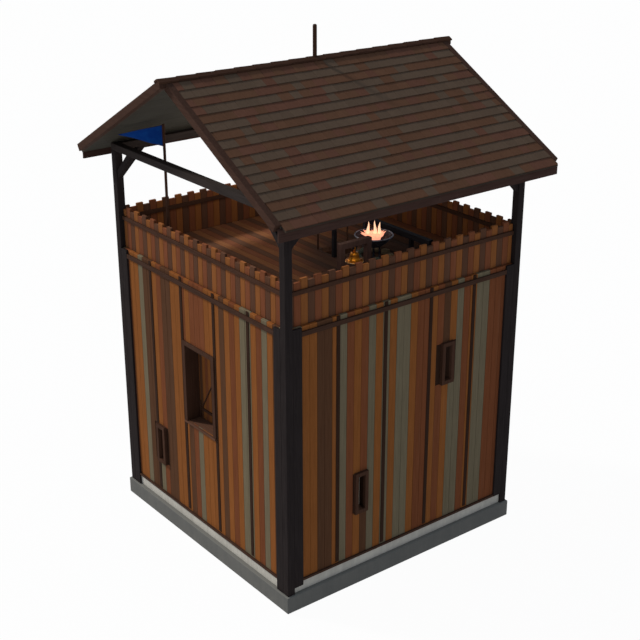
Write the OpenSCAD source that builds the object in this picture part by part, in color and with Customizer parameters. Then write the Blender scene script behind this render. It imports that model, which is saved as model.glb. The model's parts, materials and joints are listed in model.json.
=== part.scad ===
// Wooden watchtower: boarded square tower on a concrete slab, crenellated lookout
// deck, open timber frame and shingled gable roof, with bell, brazier and pennant.
// Millimetres, +Z up, ground at z = 0. The front gable faces -Y, the ridge runs along Y.

/* [Base] */
// Side of the square slab
slab_side = 6400; // [6200:50:6800]
// Height of the slab above the ground
slab_height = 380; // [250:10:500]
// Ledge of slab left outside the posts
slab_ledge = 45; // [20:5:120]
// Height of the pale plinth course on the slab
plinth_height = 240; // [150:10:350]
// How far the plinth face stands out from the wall boards
plinth_proud = 12; // [5:1:30]

/* [Frame] */
// Side of the square corner posts
post_size = 175; // [150:5:220]
// Level of the post tops
post_top = 8495; // [8200:5:8700]
// Height of the tie beams and eave plates
beam_height = 155; // [120:5:200]
// Section of the knee braces
brace_size = 125; // [90:5:140]
// Leg of the knee braces on post and beam
brace_leg = 616; // [500:2:800]

/* [Lower walls] */
// Level of the deck and of the wall tops
deck_level = 6285; // [6000:5:6500]
// How far the wall boards lie behind the post faces
wall_setback = 57; // [50:1:80]
// Width of the corner studs beside the posts
stud_width = 220; // [150:5:280]
// Length of plinth that the near side studs lap over
stud_lap = 95; // [0:5:140]
// Width of the cover battens
batten_width = 90; // [60:5:120]
// Thickness of the cover battens
batten_thick = 22; // [15:1:25]
// Height of the base rail on the plinth
base_rail = 85; // [50:5:120]
// Height of the girt under the deck
girt_height = 110; // [80:5:150]
// Thickness of the girt
girt_thick = 30; // [20:1:32]
// Drop from the deck to the girt top
girt_drop = 45; // [20:5:80]

/* [Window and slits] */
// Width over the window frame
window_width = 1210; // [1000:10:1400]
// Height over the window frame, sill included
window_height = 1940; // [1600:10:2200]
// Level of the underside of the window sill
window_level = 2925; // [2600:5:3200]
// Width of the window frame bars
window_bar = 100; // [80:5:130]
// How far the window frame stands out from the battens
window_proud = 23; // [10:1:40]
// Depth of the window frame, front to back
window_depth = 350; // [260:5:450]
// Thickness of the window sill
sill_thick = 40; // [30:5:60]
// Thickness of the shutter boards
shutter_thick = 30; // [20:1:45]
// Height of the shutter ledges
ledge_height = 60; // [40:5:90]
// Width of the slanting shutter brace
shutter_brace = 34; // [24:1:60]
// Width over a slit frame
slit_width = 350; // [300:10:420]
// Height over a slit frame
slit_height = 960; // [800:10:1100]
// Width of the slit frame bars
slit_bar = 85; // [60:5:100]
// How far the slit frames stand out from the wall boards
slit_proud = 80; // [60:1:110]

/* [Lookout deck] */
// Thickness of the deck planks
deck_thick = 110; // [80:5:140]
// How far the parapet face lies behind the post faces
parapet_setback = 115; // [100:1:125]
// Width of a parapet board
parapet_board = 168.5; // [160:0.5:175]
// Height of the tall parapet boards above the deck
parapet_height = 995; // [850:5:1150]
// Drop from a tall board to a short one
crenel_drop = 68; // [40:2:110]
// Height of the parapet rails
rail_height = 90; // [60:5:120]
// Thickness of the outer parapet rails
outer_rail = 40; // [20:1:45]
// Thickness of the inner parapet rails
inner_rail = 45; // [30:1:60]
// Level of the rail tops above the deck
rail_level = 770; // [650:5:850]
// Hatch in the deck, along X
hatch_x = 600; // [500:10:700]
// Hatch in the deck, along Y
hatch_y = 796; // [650:10:900]
// Diameter of the ladder stiles
stile_dia = 38; // [30:1:50]
// Height of the ladder stiles above the deck
stile_height = 900; // [700:10:1100]
// Side of the hatch guard posts and rail
guard_size = 82; // [60:2:100]
// Height over the hatch guard
guard_height = 820; // [700:10:950]

/* [Roof] */
// Slope of the roof in degrees
roof_pitch = 29.2; // [26:0.1:33]
// Upright thickness of the roof
roof_thick = 168; // [140:2:220]
// Half width of the roof over its fascias
eave_reach = 3612; // [3500:2:3660]
// How far the shingles run past the fascias
eave_overhang = 88; // [40:2:120]
// Thickness of the roof edge past the fascias
lip_thick = 70; // [50:2:90]
// Half length of the roof over its right-hand barge boards
gable_reach = 3655; // [3500:5:3800]
// Number of shingle courses on a slope
courses = 17; // [15:1:17]
// Plan width of a shingle course
course_run = 212; // [200:1:220]
// Height of the step at the foot of a course
course_step = 18; // [10:1:26]
// Thickness of the fascias
trim_thick = 45; // [30:1:60]
// Depth of the fascias under the fascia line of the roof
fascia_height = 285; // [240:5:340]
// Thickness of the barge boards
barge_thick = 135; // [80:5:160]
// Upright height of the barge boards
barge_height = 182; // [160:2:240]
// How far the barge boards stand over the line of the roof
barge_rise = 12; // [10:1:30]
// How far the left-hand barge boards run past the ridge
barge_lap = 80; // [40:5:120]
// Half width of the ridge cap
cap_reach = 102; // [90:2:160]
// Thickness of the ridge cap
cap_thick = 45; // [30:1:60]
// How far the ridge cap runs past the outer barge boards
cap_overhang = 15; // [5:5:60]
// Diameter of the roof finial
finial_dia = 70; // [40:2:90]
// Height of the finial above the ridge cap
finial_height = 635; // [400:5:800]

/* [Pennant] */
// Diameter of the pennant pole
pole_dia = 60; // [40:2:80]
// Level of the top of the pennant pole
pole_top = 9311; // [9000:1:9400]
// Height of the pennant at the pole
pennant_hoist = 470; // [350:5:600]
// Length of the pennant
pennant_length = 960; // [700:5:1100]
// Thickness of the pennant
pennant_thick = 8; // [6:1:14]

/* [Bell] */
// Distance between the bell frame posts, centre to centre
bell_span = 700; // [640:5:800]
// Side of the bell frame posts
bell_post = 120; // [90:5:140]
// Level of the underside of the bell beam above the deck
bell_beam_level = 825; // [780:5:900]
// Height of the bell beam
bell_beam_height = 170; // [120:5:200]
// Diameter of the bell over its lip
bell_dia = 390; // [330:5:420]
// Height of the bell from lip to shoulder
bell_height = 215; // [180:5:240]
// Thickness of the bell wall
bell_wall = 12; // [8:1:16]

/* [Brazier] */
// Diameter of the brazier ring, to the centre of its bar
ring_dia = 825; // [700:5:900]
// Level of the brazier ring above the deck
ring_level = 527; // [460:1:600]
// Diameter of the ring bar
ring_bar = 32; // [24:1:44]
// Depth of the fire bowl
bowl_depth = 260; // [200:5:320]
// Diameter of the brazier legs
leg_dia = 44; // [30:1:60]
// Height of the flames above the ring
flame_height = 330; // [250:5:420]

/* [Bench] */
// Length of the bench beam
bench_length = 2817; // [2400:5:3000]
// Height of the bench
bench_height = 428; // [380:2:500]
// Width of the bench beam
bench_width = 128; // [100:2:200]
// Height of the bench beam
bench_beam = 125; // [90:5:150]
// Side of the bench legs
bench_leg = 81; // [60:1:95]

/* [Hidden] */
post_out = slab_side/2 - slab_ledge;
post_in = post_out - post_size;
plinth_top = slab_height + plinth_height;
wall_face = post_out - wall_setback;
plinth_face = wall_face + plinth_proud;
batten_face = wall_face + batten_thick;
parapet_face = post_out - parapet_setback;
parapet_thick = parapet_face - post_in;
stud_in = post_in - stud_width;
beam_top = post_top + beam_height;
slope = tan(roof_pitch);
roof_under = beam_top + post_out*slope;
roof_apex = roof_under + roof_thick;
barge_face = gable_reach + barge_thick;
roof_end = gable_reach - barge_thick;
roof_edge = eave_reach - trim_thick;
lip_reach = eave_reach + eave_overhang;
cap_rise = barge_rise + 1;
bay = (2*post_in + post_size)/5;
window_top = window_level + window_height;
window_front = batten_face + window_proud;
window_back = window_front - window_depth;
window_in = window_width/2 - window_bar;
shutter_front = window_back;
front_slit = [-1665, 1905];
side_slits = [[-1230, 2165], [1115, 4475]];
hatch_left = -200;
hatch_front = 256;
bell_x = 1935;
bell_y = -484;
bell_pivot = deck_level + bell_beam_level - 52;
bell_gap = 6;
brazier_x = 975;
brazier_y = 853;
bench_right = 1806;
bench_y = 1764;
pole_x = -1550;
pole_y = -2773;
pennant_turn = 232;

charcoal = [0.16, 0.15, 0.14];
timber = [0.45, 0.27, 0.15];
dark_timber = [0.22, 0.15, 0.12];
concrete = [0.36, 0.36, 0.35];
plaster = [0.60, 0.58, 0.54];
shingle = [0.30, 0.19, 0.15];
iron = [0.12, 0.13, 0.15];
bronze = [0.62, 0.44, 0.14];

// A box from its lowest to its highest corner.
module span(low, high) {
  translate(low) cube(high - low);
}

// Places a wall-side part of the front face on side k: 0 front, 1 right, 2 back, 3 left.
module side(k) {
  rotate([0, 0, 90*k]) children();
}

// A flat outline drawn in x and z, as a plate from y = back to y = front.
module plate_y(front, back) {
  translate([0, back, 0]) rotate([90, 0, 0]) linear_extrude(height = back - front) children();
}

// ---- base ----

module foundation_slab() {
  color(concrete)
    span([-slab_side/2, -slab_side/2, 0], [slab_side/2, slab_side/2, slab_height]);
}

module plinth_run(k) {
  side(k) span([-post_in, -plinth_face, slab_height], [post_in, -post_in, plinth_top]);
}

module plinth_course() {
  color(plaster) for (k = [0:3]) plinth_run(k);
}

// ---- posts, beams and braces ----

module post(sx, sy) {
  mid = post_out - post_size/2;
  color(charcoal)
    translate([sx*mid - post_size/2, sy*mid - post_size/2, slab_height])
      cube([post_size, post_size, post_top - slab_height]);
}

module post_front_left() { post(-1, -1); }
module post_front_right() { post(1, -1); }
module post_back_left() { post(-1, 1); }
module post_back_right() { post(1, 1); }

module tie_beams() {
  color(charcoal) for (k = [0, 2])
    side(k) span([-post_out, -post_out, post_top], [post_out, -post_in, beam_top]);
}

module eave_plates() {
  color(charcoal) for (k = [1, 3])
    side(k) span([-post_in, -post_out, post_top], [post_in, -post_in, beam_top]);
}

module knee_brace(k, s) {
  face = brace_size*sqrt(2);
  mid = post_out - post_size/2;
  side(k) plate_y(-mid - brace_size/2, -mid + brace_size/2)
    polygon([[s*post_in, post_top - brace_leg],
             [s*post_in, post_top - brace_leg + face],
             [s*(post_in - brace_leg + face), post_top],
             [s*(post_in - brace_leg), post_top]]);
}

module knee_braces() {
  color(charcoal) for (k = [0:3], s = [-1, 1]) knee_brace(k, s);
}

// ---- lower walls ----

// Slits of side k as [place along the wall, level of the middle].
function slits(k) = k == 0 ? [front_slit] : k == 2 ? [] : side_slits;

module slit_hole(s) {
  w = slit_width/2 - slit_bar;
  h = slit_height/2 - slit_bar;
  span([s[0] - w, -post_out - 200, s[1] - h], [s[0] + w, -post_in + 50, s[1] + h]);
}

module slit_block(s, front) {
  span([s[0] - slit_width/2, -front, s[1] - slit_height/2],
       [s[0] + slit_width/2, -wall_face, s[1] + slit_height/2]);
}

module window_block(front, back) {
  span([-window_width/2, -front, window_level], [window_width/2, -back, window_top]);
}

module wall(k) {
  color(timber) side(k) difference() {
    span([-post_in, -wall_face, plinth_top], [post_in, -post_in, deck_level]);
    for (s = slits(k)) slit_hole(s);
    if (k == 0) window_block(wall_face + 10, post_in - 10);
  }
}

module wall_front() { wall(0); }
module wall_right() { wall(1); }
module wall_back() { wall(2); }
module wall_left() { wall(3); }

// Corner stud at end s of side k: on the gable sides it runs down to the slab in front
// of the plinth, on the eave sides it stops on the plinth and its near end laps over it.
module corner_stud(k, s) {
  foot = k % 2 == 0 ? slab_height : plinth_top - (s < 0 ? stud_lap : 0);
  side(k) {
    difference() {
      span([s > 0 ? stud_in : -post_in, -post_out, foot],
           [s > 0 ? post_in : -stud_in, -wall_face, deck_level]);
      span([-post_in - 1, -plinth_face, slab_height - 1], [post_in + 1, -wall_face + 1, plinth_top]);
    }
  }
}

module corner_studs() {
  color(charcoal) for (k = [0:3], s = [-1, 1]) corner_stud(k, s);
}

module batten(k, x) {
  side(k) difference() {
    span([x - batten_width/2, -batten_face, plinth_top + base_rail],
         [x + batten_width/2, -wall_face, deck_level]);
    for (s = slits(k)) slit_block(s, post_out);
    if (k == 0) window_block(post_out, post_in);
  }
}

module wall_battens() {
  color(dark_timber) for (k = [0:3], i = [-1.5:1:1.5]) batten(k, i*bay);
}

// Base rail between the studs on the plinth, and the girt over the battens.
module wall_rails() {
  top = deck_level - girt_drop;
  color(dark_timber) for (k = [0:3]) side(k) {
    span([-stud_in, -batten_face, plinth_top], [stud_in, -wall_face, plinth_top + base_rail]);
    span([-stud_in, -batten_face - girt_thick, top - girt_height], [stud_in, -batten_face, top]);
  }
}

module window_frame() {
  color(dark_timber) difference() {
    window_block(window_front, window_back);
    span([-window_in, -window_front - 1, window_level - 1],
         [window_in, -window_back + 1, window_top - window_bar]);
    span([-window_width, -window_front - 1, window_level - 1],
         [window_width, -window_back + 1, window_level + sill_thick]);
  }
}

module window_sill() {
  color(timber)
    span([-window_width/2, -window_front - 20, window_level],
         [window_width/2, -window_back, window_level + sill_thick]);
}

// Boarded leaf closing the back of the window recess, with two ledges, a slanting brace
// between them and a short upright cleat at its lower corner.
module window_shutter() {
  foot = window_level + sill_thick;
  low = window_level + 265;
  high = window_top - window_bar - 160;
  reach = window_in - 50;
  proud = 25;
  color(timber) {
    span([-window_width/2, -window_back, foot], [window_width/2, -window_back + shutter_thick, window_top]);
    for (z = [low, high])
      span([-reach, -window_back - proud, z - ledge_height/2], [reach, -window_back, z + ledge_height/2]);
    plate_y(-window_back - proud + 5, -window_back)
      polygon([[-reach, low], [-reach + shutter_brace, low], [reach, high], [reach - shutter_brace, high]]);
    span([-window_in, -window_back - proud, foot], [-window_in + 42, -window_back, low + 170]);
  }
}

module slit_frames() {
  color(dark_timber) for (k = [0:3], s = slits(k))
    side(k) difference() {
      slit_block(s, wall_face + slit_proud);
      slit_hole(s);
    }
}

// ---- lookout deck ----

module deck() {
  color(timber) difference() {
    span([-post_in, -post_in, deck_level - deck_thick], [post_in, post_in, deck_level]);
    span([hatch_left, hatch_front, deck_level - deck_thick - 1],
         [hatch_left + hatch_x, hatch_front + hatch_y, deck_level + 1]);
  }
}

// Board heights alternate along the parapet; phase 1 starts on a short board.
function board_top(i, phase) = deck_level + parapet_height - ((i + phase) % 2 == 0 ? 0 : crenel_drop);

module parapet(k, phase) {
  count = 2*ceil(post_in/parapet_board);
  start = -count/2*parapet_board;
  outline = [for (i = [0:count - 1], e = [0, 1])
    [max(-post_in, min(post_in, start + (i + e)*parapet_board)), board_top(i, phase)]];
  color(timber) side(k) plate_y(-parapet_face, -post_in)
    polygon(concat(outline, [[post_in, deck_level], [-post_in, deck_level]]));
}

module parapet_front() { parapet(0, 1); }
module parapet_right() { parapet(1, 0); }
module parapet_back() { parapet(2, 1); }
module parapet_left() { parapet(3, 0); }

module parapet_rail(k, reach, out, inside) {
  top = deck_level + rail_level;
  side(k) span([-reach, -out, top - rail_height], [reach, -inside, top]);
}

module parapet_outer_rails() {
  color(dark_timber) for (k = [0:3])
    parapet_rail(k, post_in, parapet_face + outer_rail, parapet_face);
}

module parapet_inner_rails() {
  color(dark_timber) for (k = [0:3])
    parapet_rail(k, k % 2 == 0 ? post_in : post_in - inner_rail - 5, post_in, post_in - inner_rail);
}

module hatch_guard() {
  x = hatch_left + hatch_x;
  ends = [hatch_front - guard_size, hatch_front + hatch_y];
  color(iron) {
    for (y = ends)
      span([x - guard_size/2, y, deck_level], [x + guard_size/2, y + guard_size, deck_level + guard_height]);
    span([x - guard_size/2, ends[0], deck_level + guard_height - guard_size],
         [x + guard_size/2, ends[1] + guard_size, deck_level + guard_height]);
  }
}

module ladder_stiles() {
  color(timber) for (y = [hatch_front - stile_dia/2 - 2, hatch_front + hatch_y + stile_dia/2 + 2])
    translate([hatch_left, y, deck_level]) cylinder(d = stile_dia, h = stile_height, $fn = 24);
}

// ---- roof ----

function roof_top(x) = roof_apex - x*slope;

// Underside of the roof edge that runs past the fascias.
function lip_under(x) = roof_top(x) + course_step - lip_thick;

// Where course i meets the next one, counted from the ridge.
function course_foot(i) = i == 0 ? 0 : lip_reach - (courses - i)*course_run;

// Right-hand slope as a stepped section: each course is thickest at its foot.
module slope_section() {
  steps = [for (i = [0:courses - 1], e = [0, 1])
    [course_foot(i + e), roof_top(course_foot(i + e)) + e*course_step]];
  lip = [[lip_reach, lip_under(lip_reach)], [roof_edge, lip_under(roof_edge)]];
  polygon(concat(steps, lip, [[roof_edge, roof_top(roof_edge) - roof_thick], [0, roof_under]]));
}

module roof_slope_right() {
  color(shingle) plate_y(-roof_end, roof_end) slope_section();
}

// The left-hand slope runs on to the outer barge boards.
module roof_slope_left() {
  color(shingle) plate_y(-gable_reach, gable_reach) mirror([1, 0, 0]) slope_section();
}

// Section of the ridge cap; with solid = true everything under its top surface.
module cap_section(solid) {
  low = roof_top(cap_reach) + cap_rise;
  peak = roof_apex + cap_rise;
  sides = [[-cap_reach, low + cap_thick], [0, peak + cap_thick], [cap_reach, low + cap_thick]];
  under = solid ? [[cap_reach, low - 500], [-cap_reach, low - 500]]
                : [[cap_reach, low], [0, peak], [-cap_reach, low]];
  polygon(concat(sides, under));
}

module ridge_cap() {
  reach = barge_face + cap_overhang;
  color(shingle) plate_y(-reach, reach) cap_section(false);
}

// A barge board that falls to the right from where it stops, lap past the ridge.
module barge_section(lap) {
  depth = barge_height*cos(roof_pitch);
  foot = roof_edge - lap - 2;
  crown = roof_apex + barge_rise;
  past = lap > 0 ? [[-lap, crown - lap*slope]] : [];
  polygon(concat(past, [
    [0, crown],
    [foot, crown - foot*slope],
    [foot - depth*sin(roof_pitch), crown - foot*slope - depth*cos(roof_pitch)],
    [-lap, crown - barge_height + lap*slope]]));
}

// At each gable the left-hand board laps over the face of the right-hand one.
module barge_boards() {
  color(dark_timber) for (end = [0, 1]) mirror([0, end, 0]) {
    plate_y(roof_end, gable_reach) barge_section(0);
    plate_y(gable_reach, barge_face) mirror([1, 0, 0]) barge_section(barge_lap);
  }
}

module eave_fascias() {
  reach = gable_reach - trim_thick;
  foot = roof_top(eave_reach) - fascia_height;
  color(dark_timber) for (s = [-1, 1])
    plate_y(-reach, reach)
      polygon([[s*roof_edge, lip_under(roof_edge)], [s*eave_reach, lip_under(eave_reach)],
               [s*eave_reach, foot], [s*roof_edge, foot]]);
}

module roof_finial() {
  top = roof_apex + cap_rise + cap_thick;
  color(dark_timber) difference() {
    translate([0, 0, top - 60]) cylinder(d = finial_dia, h = finial_height + 60, $fn = 32);
    plate_y(-finial_dia, finial_dia) cap_section(true);
  }
}

module pennant_pole() {
  color(dark_timber) translate([pole_x, pole_y, deck_level])
    cylinder(d = pole_dia, h = pole_top - deck_level, $fn = 32);
}

module pennant() {
  color([0.03, 0.14, 0.33]) translate([pole_x, pole_y, pole_top - 25]) rotate([0, 0, pennant_turn])
    plate_y(-pennant_thick/2, pennant_thick/2)
      polygon([[pole_dia/2, 0], [pole_dia/2, -pennant_hoist],
               [pole_dia/2 + pennant_length, -pennant_hoist/2]]);
}

// ---- bell ----

module bell_frame() {
  beam = deck_level + bell_beam_level;
  half = bell_post/2;
  color(dark_timber) translate([bell_x, bell_y, 0]) {
    for (s = [-1, 1])
      span([-half, s*bell_span/2 - half, deck_level], [half, s*bell_span/2 + half, beam]);
    span([-half, -bell_span/2 - half - 60, beam], [half, bell_span/2 + half + 60, beam + bell_beam_height]);
  }
}

// Two cheeks under the beam with the swing pin between them.
module bell_bracket() {
  beam = deck_level + bell_beam_level;
  color(iron) translate([bell_x, bell_y, 0]) {
    for (s = [-1, 1])
      plate_y(s > 0 ? 32 : -44, s > 0 ? 44 : -32)
        polygon([[-45, beam], [45, beam], [22, bell_pivot - 24], [-22, bell_pivot - 24]]);
    translate([0, -56, bell_pivot]) rotate([-90, 0, 0]) cylinder(d = 18, h = 112, $fn = 24);
  }
}

// Half section of the bell: r and height above the lip, closed and open inside.
module bell_section() {
  r = bell_dia/2;
  h = bell_height;
  w = bell_wall;
  polygon([[r - 22, 0], [r - 8, 4], [r, 18], [r - 4, 32], [r - 18, 38], [r*0.72, 52], [r*0.60, 72],
           [r*0.52, h*0.55], [r*0.44, h*0.82], [r*0.36, h*0.94], [r*0.20, h], [0, h],
           [0, h - w], [r*0.18, h - w], [r*0.36 - w, h*0.88], [r*0.44 - w, h*0.76],
           [r*0.52 - w, h*0.50], [r*0.60 - w, 56], [r*0.72 - w, 32], [r - 40, 14]]);
}

module bell() {
  crown = 20 + bell_gap;
  foot = bell_pivot - 75 - bell_height;
  color(bronze) translate([bell_x, bell_y, 0]) {
    translate([0, 0, foot]) rotate_extrude($fn = 64) bell_section();
    plate_y(-11, 11) difference() {
      union() {
        translate([0, bell_pivot]) circle(r = crown + 6, $fn = 48);
        polygon([[-30, foot + bell_height - 4], [30, foot + bell_height - 4],
                 [crown + 4, bell_pivot], [-crown - 4, bell_pivot]]);
      }
      translate([0, bell_pivot]) circle(r = 9 + bell_gap, $fn = 48);
    }
  }
}

// ---- brazier ----

module brazier_bowl() {
  r = ring_dia/2;
  b = ring_bar/2;
  color(iron) translate([brazier_x, brazier_y, deck_level + ring_level]) {
    rotate_extrude($fn = 64) translate([r, 0]) circle(r = b, $fn = 20);
    rotate_extrude($fn = 64)
      polygon([[r - b + 4, -4], [r - b - 8, -4], [r*0.34 - 8, 12 - bowl_depth], [0, 12 - bowl_depth],
               [0, -bowl_depth], [r*0.34, -bowl_depth]]);
  }
}

module brazier_legs() {
  r = ring_dia/2;
  lo = ring_level - bowl_depth;
  color(iron) translate([brazier_x, brazier_y, deck_level]) {
    for (a = [45:90:315])
      rotate([0, 0, a]) translate([r*0.30, 0, 0]) cylinder(d = leg_dia, h = lo, $fn = 20);
  }
}

// Glowing coals as a spiky crown filling the bowl, with three flames on it.
module brazier_fire() {
  r = ring_dia/2;
  base = 12 - bowl_depth;
  star = [for (i = [0:23]) let (q = (i % 2 == 0 ? 0.64 : 0.44)*r, a = i*15) [q*cos(a), q*sin(a)]];
  color([1.0, 0.62, 0.42]) translate([brazier_x, brazier_y, deck_level + ring_level]) {
    translate([0, 0, base]) cylinder(r1 = r*0.30, r2 = r*0.42, h = -base, $fn = 24);
    linear_extrude(height = 60, scale = 0.7) polygon(star);
    for (f = [[-115, 10, 0.9], [0, -15, 1], [110, 20, 0.85]])
      translate([f[0], f[1], 50]) cylinder(r1 = 62, r2 = 6, h = flame_height*f[2] - 50, $fn = 20);
  }
}

module hearth_stones() {
  color([0.34, 0.36, 0.30]) translate([brazier_x, brazier_y, deck_level])
    for (i = [0:8])
      rotate([0, 0, i*40 + 12]) translate([ring_dia*0.44, 0, 0]) rotate([0, 0, 7*(i % 3) - 7])
        span([-75, -90, 0], [75, 90, 95 + 18*((i*7) % 3)]);
}

// ---- bench ----

module bench() {
  left = bench_right - bench_length;
  color(iron) {
    span([left, bench_y - bench_width/2, deck_level + bench_height - bench_beam],
         [bench_right, bench_y + bench_width/2, deck_level + bench_height]);
    for (x = [left + 626, bench_right - 626])
      span([x - bench_leg/2, bench_y - bench_leg/2, deck_level],
           [x + bench_leg/2, bench_y + bench_leg/2, deck_level + bench_height - bench_beam]);
  }
}

foundation_slab();
plinth_course();
post_front_left();
post_front_right();
post_back_left();
post_back_right();
wall_front();
wall_right();
wall_back();
wall_left();
corner_studs();
wall_battens();
wall_rails();
window_frame();
window_sill();
window_shutter();
slit_frames();
deck();
parapet_front();
parapet_right();
parapet_back();
parapet_left();
parapet_outer_rails();
parapet_inner_rails();
hatch_guard();
ladder_stiles();
tie_beams();
eave_plates();
knee_braces();
roof_slope_left();
roof_slope_right();
ridge_cap();
barge_boards();
eave_fascias();
roof_finial();
pennant_pole();
pennant();
bell_frame();
bell_bracket();
bell();
brazier_bowl();
brazier_legs();
brazier_fire();
hearth_stones();
bench();
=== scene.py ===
"""Looks of the wooden watchtower.

A boarded square tower on a concrete slab with a crenellated lookout deck, an open
timber frame, a shingled gable roof, a swinging bell, a brazier, a bench and a pennant.
Metres, +Z up, ground at z = 0, front gable facing -Y, ridge along Y.
"""
import functools
import json
import logging
import math
import random
from dataclasses import dataclass, field, replace
from enum import Enum
from typing import Any, Callable

import bmesh
import bpy
from bmesh.types import BMesh
from bpy.types import (ID, ColorRamp, Material, Mesh, Modifier, Node, NodeSocket, NodeTree,
                       Object, World)
from mathutils import Matrix, Vector

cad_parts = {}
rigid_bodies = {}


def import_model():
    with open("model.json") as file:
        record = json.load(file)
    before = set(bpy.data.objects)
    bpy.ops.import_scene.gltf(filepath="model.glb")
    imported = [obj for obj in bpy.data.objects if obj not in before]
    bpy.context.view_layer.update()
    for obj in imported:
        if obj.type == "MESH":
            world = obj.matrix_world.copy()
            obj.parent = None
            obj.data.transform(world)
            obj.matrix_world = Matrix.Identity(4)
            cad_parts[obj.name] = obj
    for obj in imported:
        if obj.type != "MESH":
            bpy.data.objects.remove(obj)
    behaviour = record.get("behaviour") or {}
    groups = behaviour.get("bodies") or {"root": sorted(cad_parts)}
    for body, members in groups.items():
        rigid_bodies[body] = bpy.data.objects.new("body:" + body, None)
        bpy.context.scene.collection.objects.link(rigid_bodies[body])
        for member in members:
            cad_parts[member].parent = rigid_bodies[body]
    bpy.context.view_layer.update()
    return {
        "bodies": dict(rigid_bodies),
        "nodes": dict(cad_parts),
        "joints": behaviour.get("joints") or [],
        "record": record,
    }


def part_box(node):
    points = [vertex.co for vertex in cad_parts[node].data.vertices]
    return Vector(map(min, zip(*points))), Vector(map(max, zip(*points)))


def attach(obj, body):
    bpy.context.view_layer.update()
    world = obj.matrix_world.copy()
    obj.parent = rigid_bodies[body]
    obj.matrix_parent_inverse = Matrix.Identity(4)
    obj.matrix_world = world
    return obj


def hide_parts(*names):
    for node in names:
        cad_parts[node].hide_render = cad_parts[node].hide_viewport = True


LOG = logging.getLogger("watchtower")
RGB = tuple[float, float, float]
TOWER = "tower"
BELL = "bell"
GOLDEN_ANGLE = 2.39996
WELD = 1e-5
SOLID_WELD = 2e-4
FLAT_ANGLE = math.radians(1.0)
SHARP_ANGLE = math.radians(30.0)


def srgb(red: float, green: float, blue: float) -> RGB:
    """Turns a paint colour of 0 to 255 per channel into linear light.

    Args:
        red: Red, 0 to 255.
        green: Green, 0 to 255.
        blue: Blue, 0 to 255.

    Returns:
        The linear colour.
    """
    def channel(value: float) -> float:
        """Linear value of one channel."""
        share = value / 255.0
        return share / 12.92 if share <= 0.04045 else ((share + 0.055) / 1.055) ** 2.4

    return channel(red), channel(green), channel(blue)


class Way(Enum):
    """Direction in which the grain of a timber runs."""

    X = (0.05, 1.0, 1.0)
    Y = (1.0, 0.05, 1.0)
    Z = (1.0, 1.0, 0.05)


class Side(Enum):
    """The four faces of the tower, as quarter turns from the front."""

    FRONT = 0
    RIGHT = 1
    BACK = 2
    LEFT = 3

    @property
    def turn(self) -> float:
        """Angle of the face about Z, in radians."""
        return self.value * math.pi / 2

    def place(self, along: float, out: float, level: float) -> Vector:
        """Point on this face from its place along the wall, its reach and its level."""
        return Matrix.Rotation(self.turn, 3, "Z") @ Vector((along, -out, level))


class Tone(Enum):
    """Stock that a board or shingle is cut from, as its place in the tone ramp."""

    AMBER = 0.125
    RUSSET = 0.375
    UMBER = 0.625
    GREY = 0.875


# ---- shader graph ----


def joined(operation: str, swapped: bool = False) -> Callable[["Val", Any], "Val"]:
    """Makes a method of Val that joins it with a value in a Math node.

    Args:
        operation: Operation of the node.
        swapped: Whether the value comes first.

    Returns:
        The method.
    """
    def method(val: "Val", other: Any) -> "Val":
        """The joined value."""
        return val.graph.math(operation, *((other, val) if swapped else (val, other)))

    return method


class Val:
    """A shader socket that takes part in arithmetic."""

    def __init__(self, graph: "Graph", socket: NodeSocket) -> None:
        """Wraps one output socket of a graph."""
        self.graph = graph
        self.socket = socket

    __add__ = __radd__ = joined("ADD")
    __sub__ = joined("SUBTRACT")
    __rsub__ = joined("SUBTRACT", swapped=True)
    __mul__ = __rmul__ = joined("MULTIPLY")
    __pow__ = joined("POWER")
    most = joined("MAXIMUM")

    def size(self) -> "Val":
        """Absolute value."""
        return self.graph.math("ABSOLUTE", self)


class Nodes:
    """A node tree that is filled in by code."""

    def __init__(self, tree: NodeTree) -> None:
        """Takes over an empty tree."""
        self.tree = tree

    def node(self, kind: str, settings: dict[str, Any] | None = None,
             inputs: dict[Any, Any] | None = None) -> Node:
        """Adds one node.

        Args:
            kind: Node type.
            settings: Properties that are set first; "stops" fills a colour ramp.
            inputs: Values, sockets or Vals by socket name or number.

        Returns:
            The node.
        """
        made = self.tree.nodes.new(kind)
        for key, value in (settings or {}).items():
            if key == "stops":
                self._stops(made.color_ramp, value)
            else:
                setattr(made, key, value)
        for key, value in (inputs or {}).items():
            source = value.socket if isinstance(value, Val) else value
            if isinstance(source, NodeSocket):
                self.tree.links.new(source, made.inputs[key])
            else:
                made.inputs[key].default_value = source
        return made

    @staticmethod
    def _stops(ramp: ColorRamp, stops: list[tuple[float, RGB]]) -> None:
        """Fills a colour ramp.

        Args:
            ramp: The ramp.
            stops: Place and colour of each stop.
        """
        while len(ramp.elements) < len(stops):
            ramp.elements.new(0.5)
        for element, (place, colour) in zip(ramp.elements, stops):
            element.position = place
            element.color = (*colour, 1.0)


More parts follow.
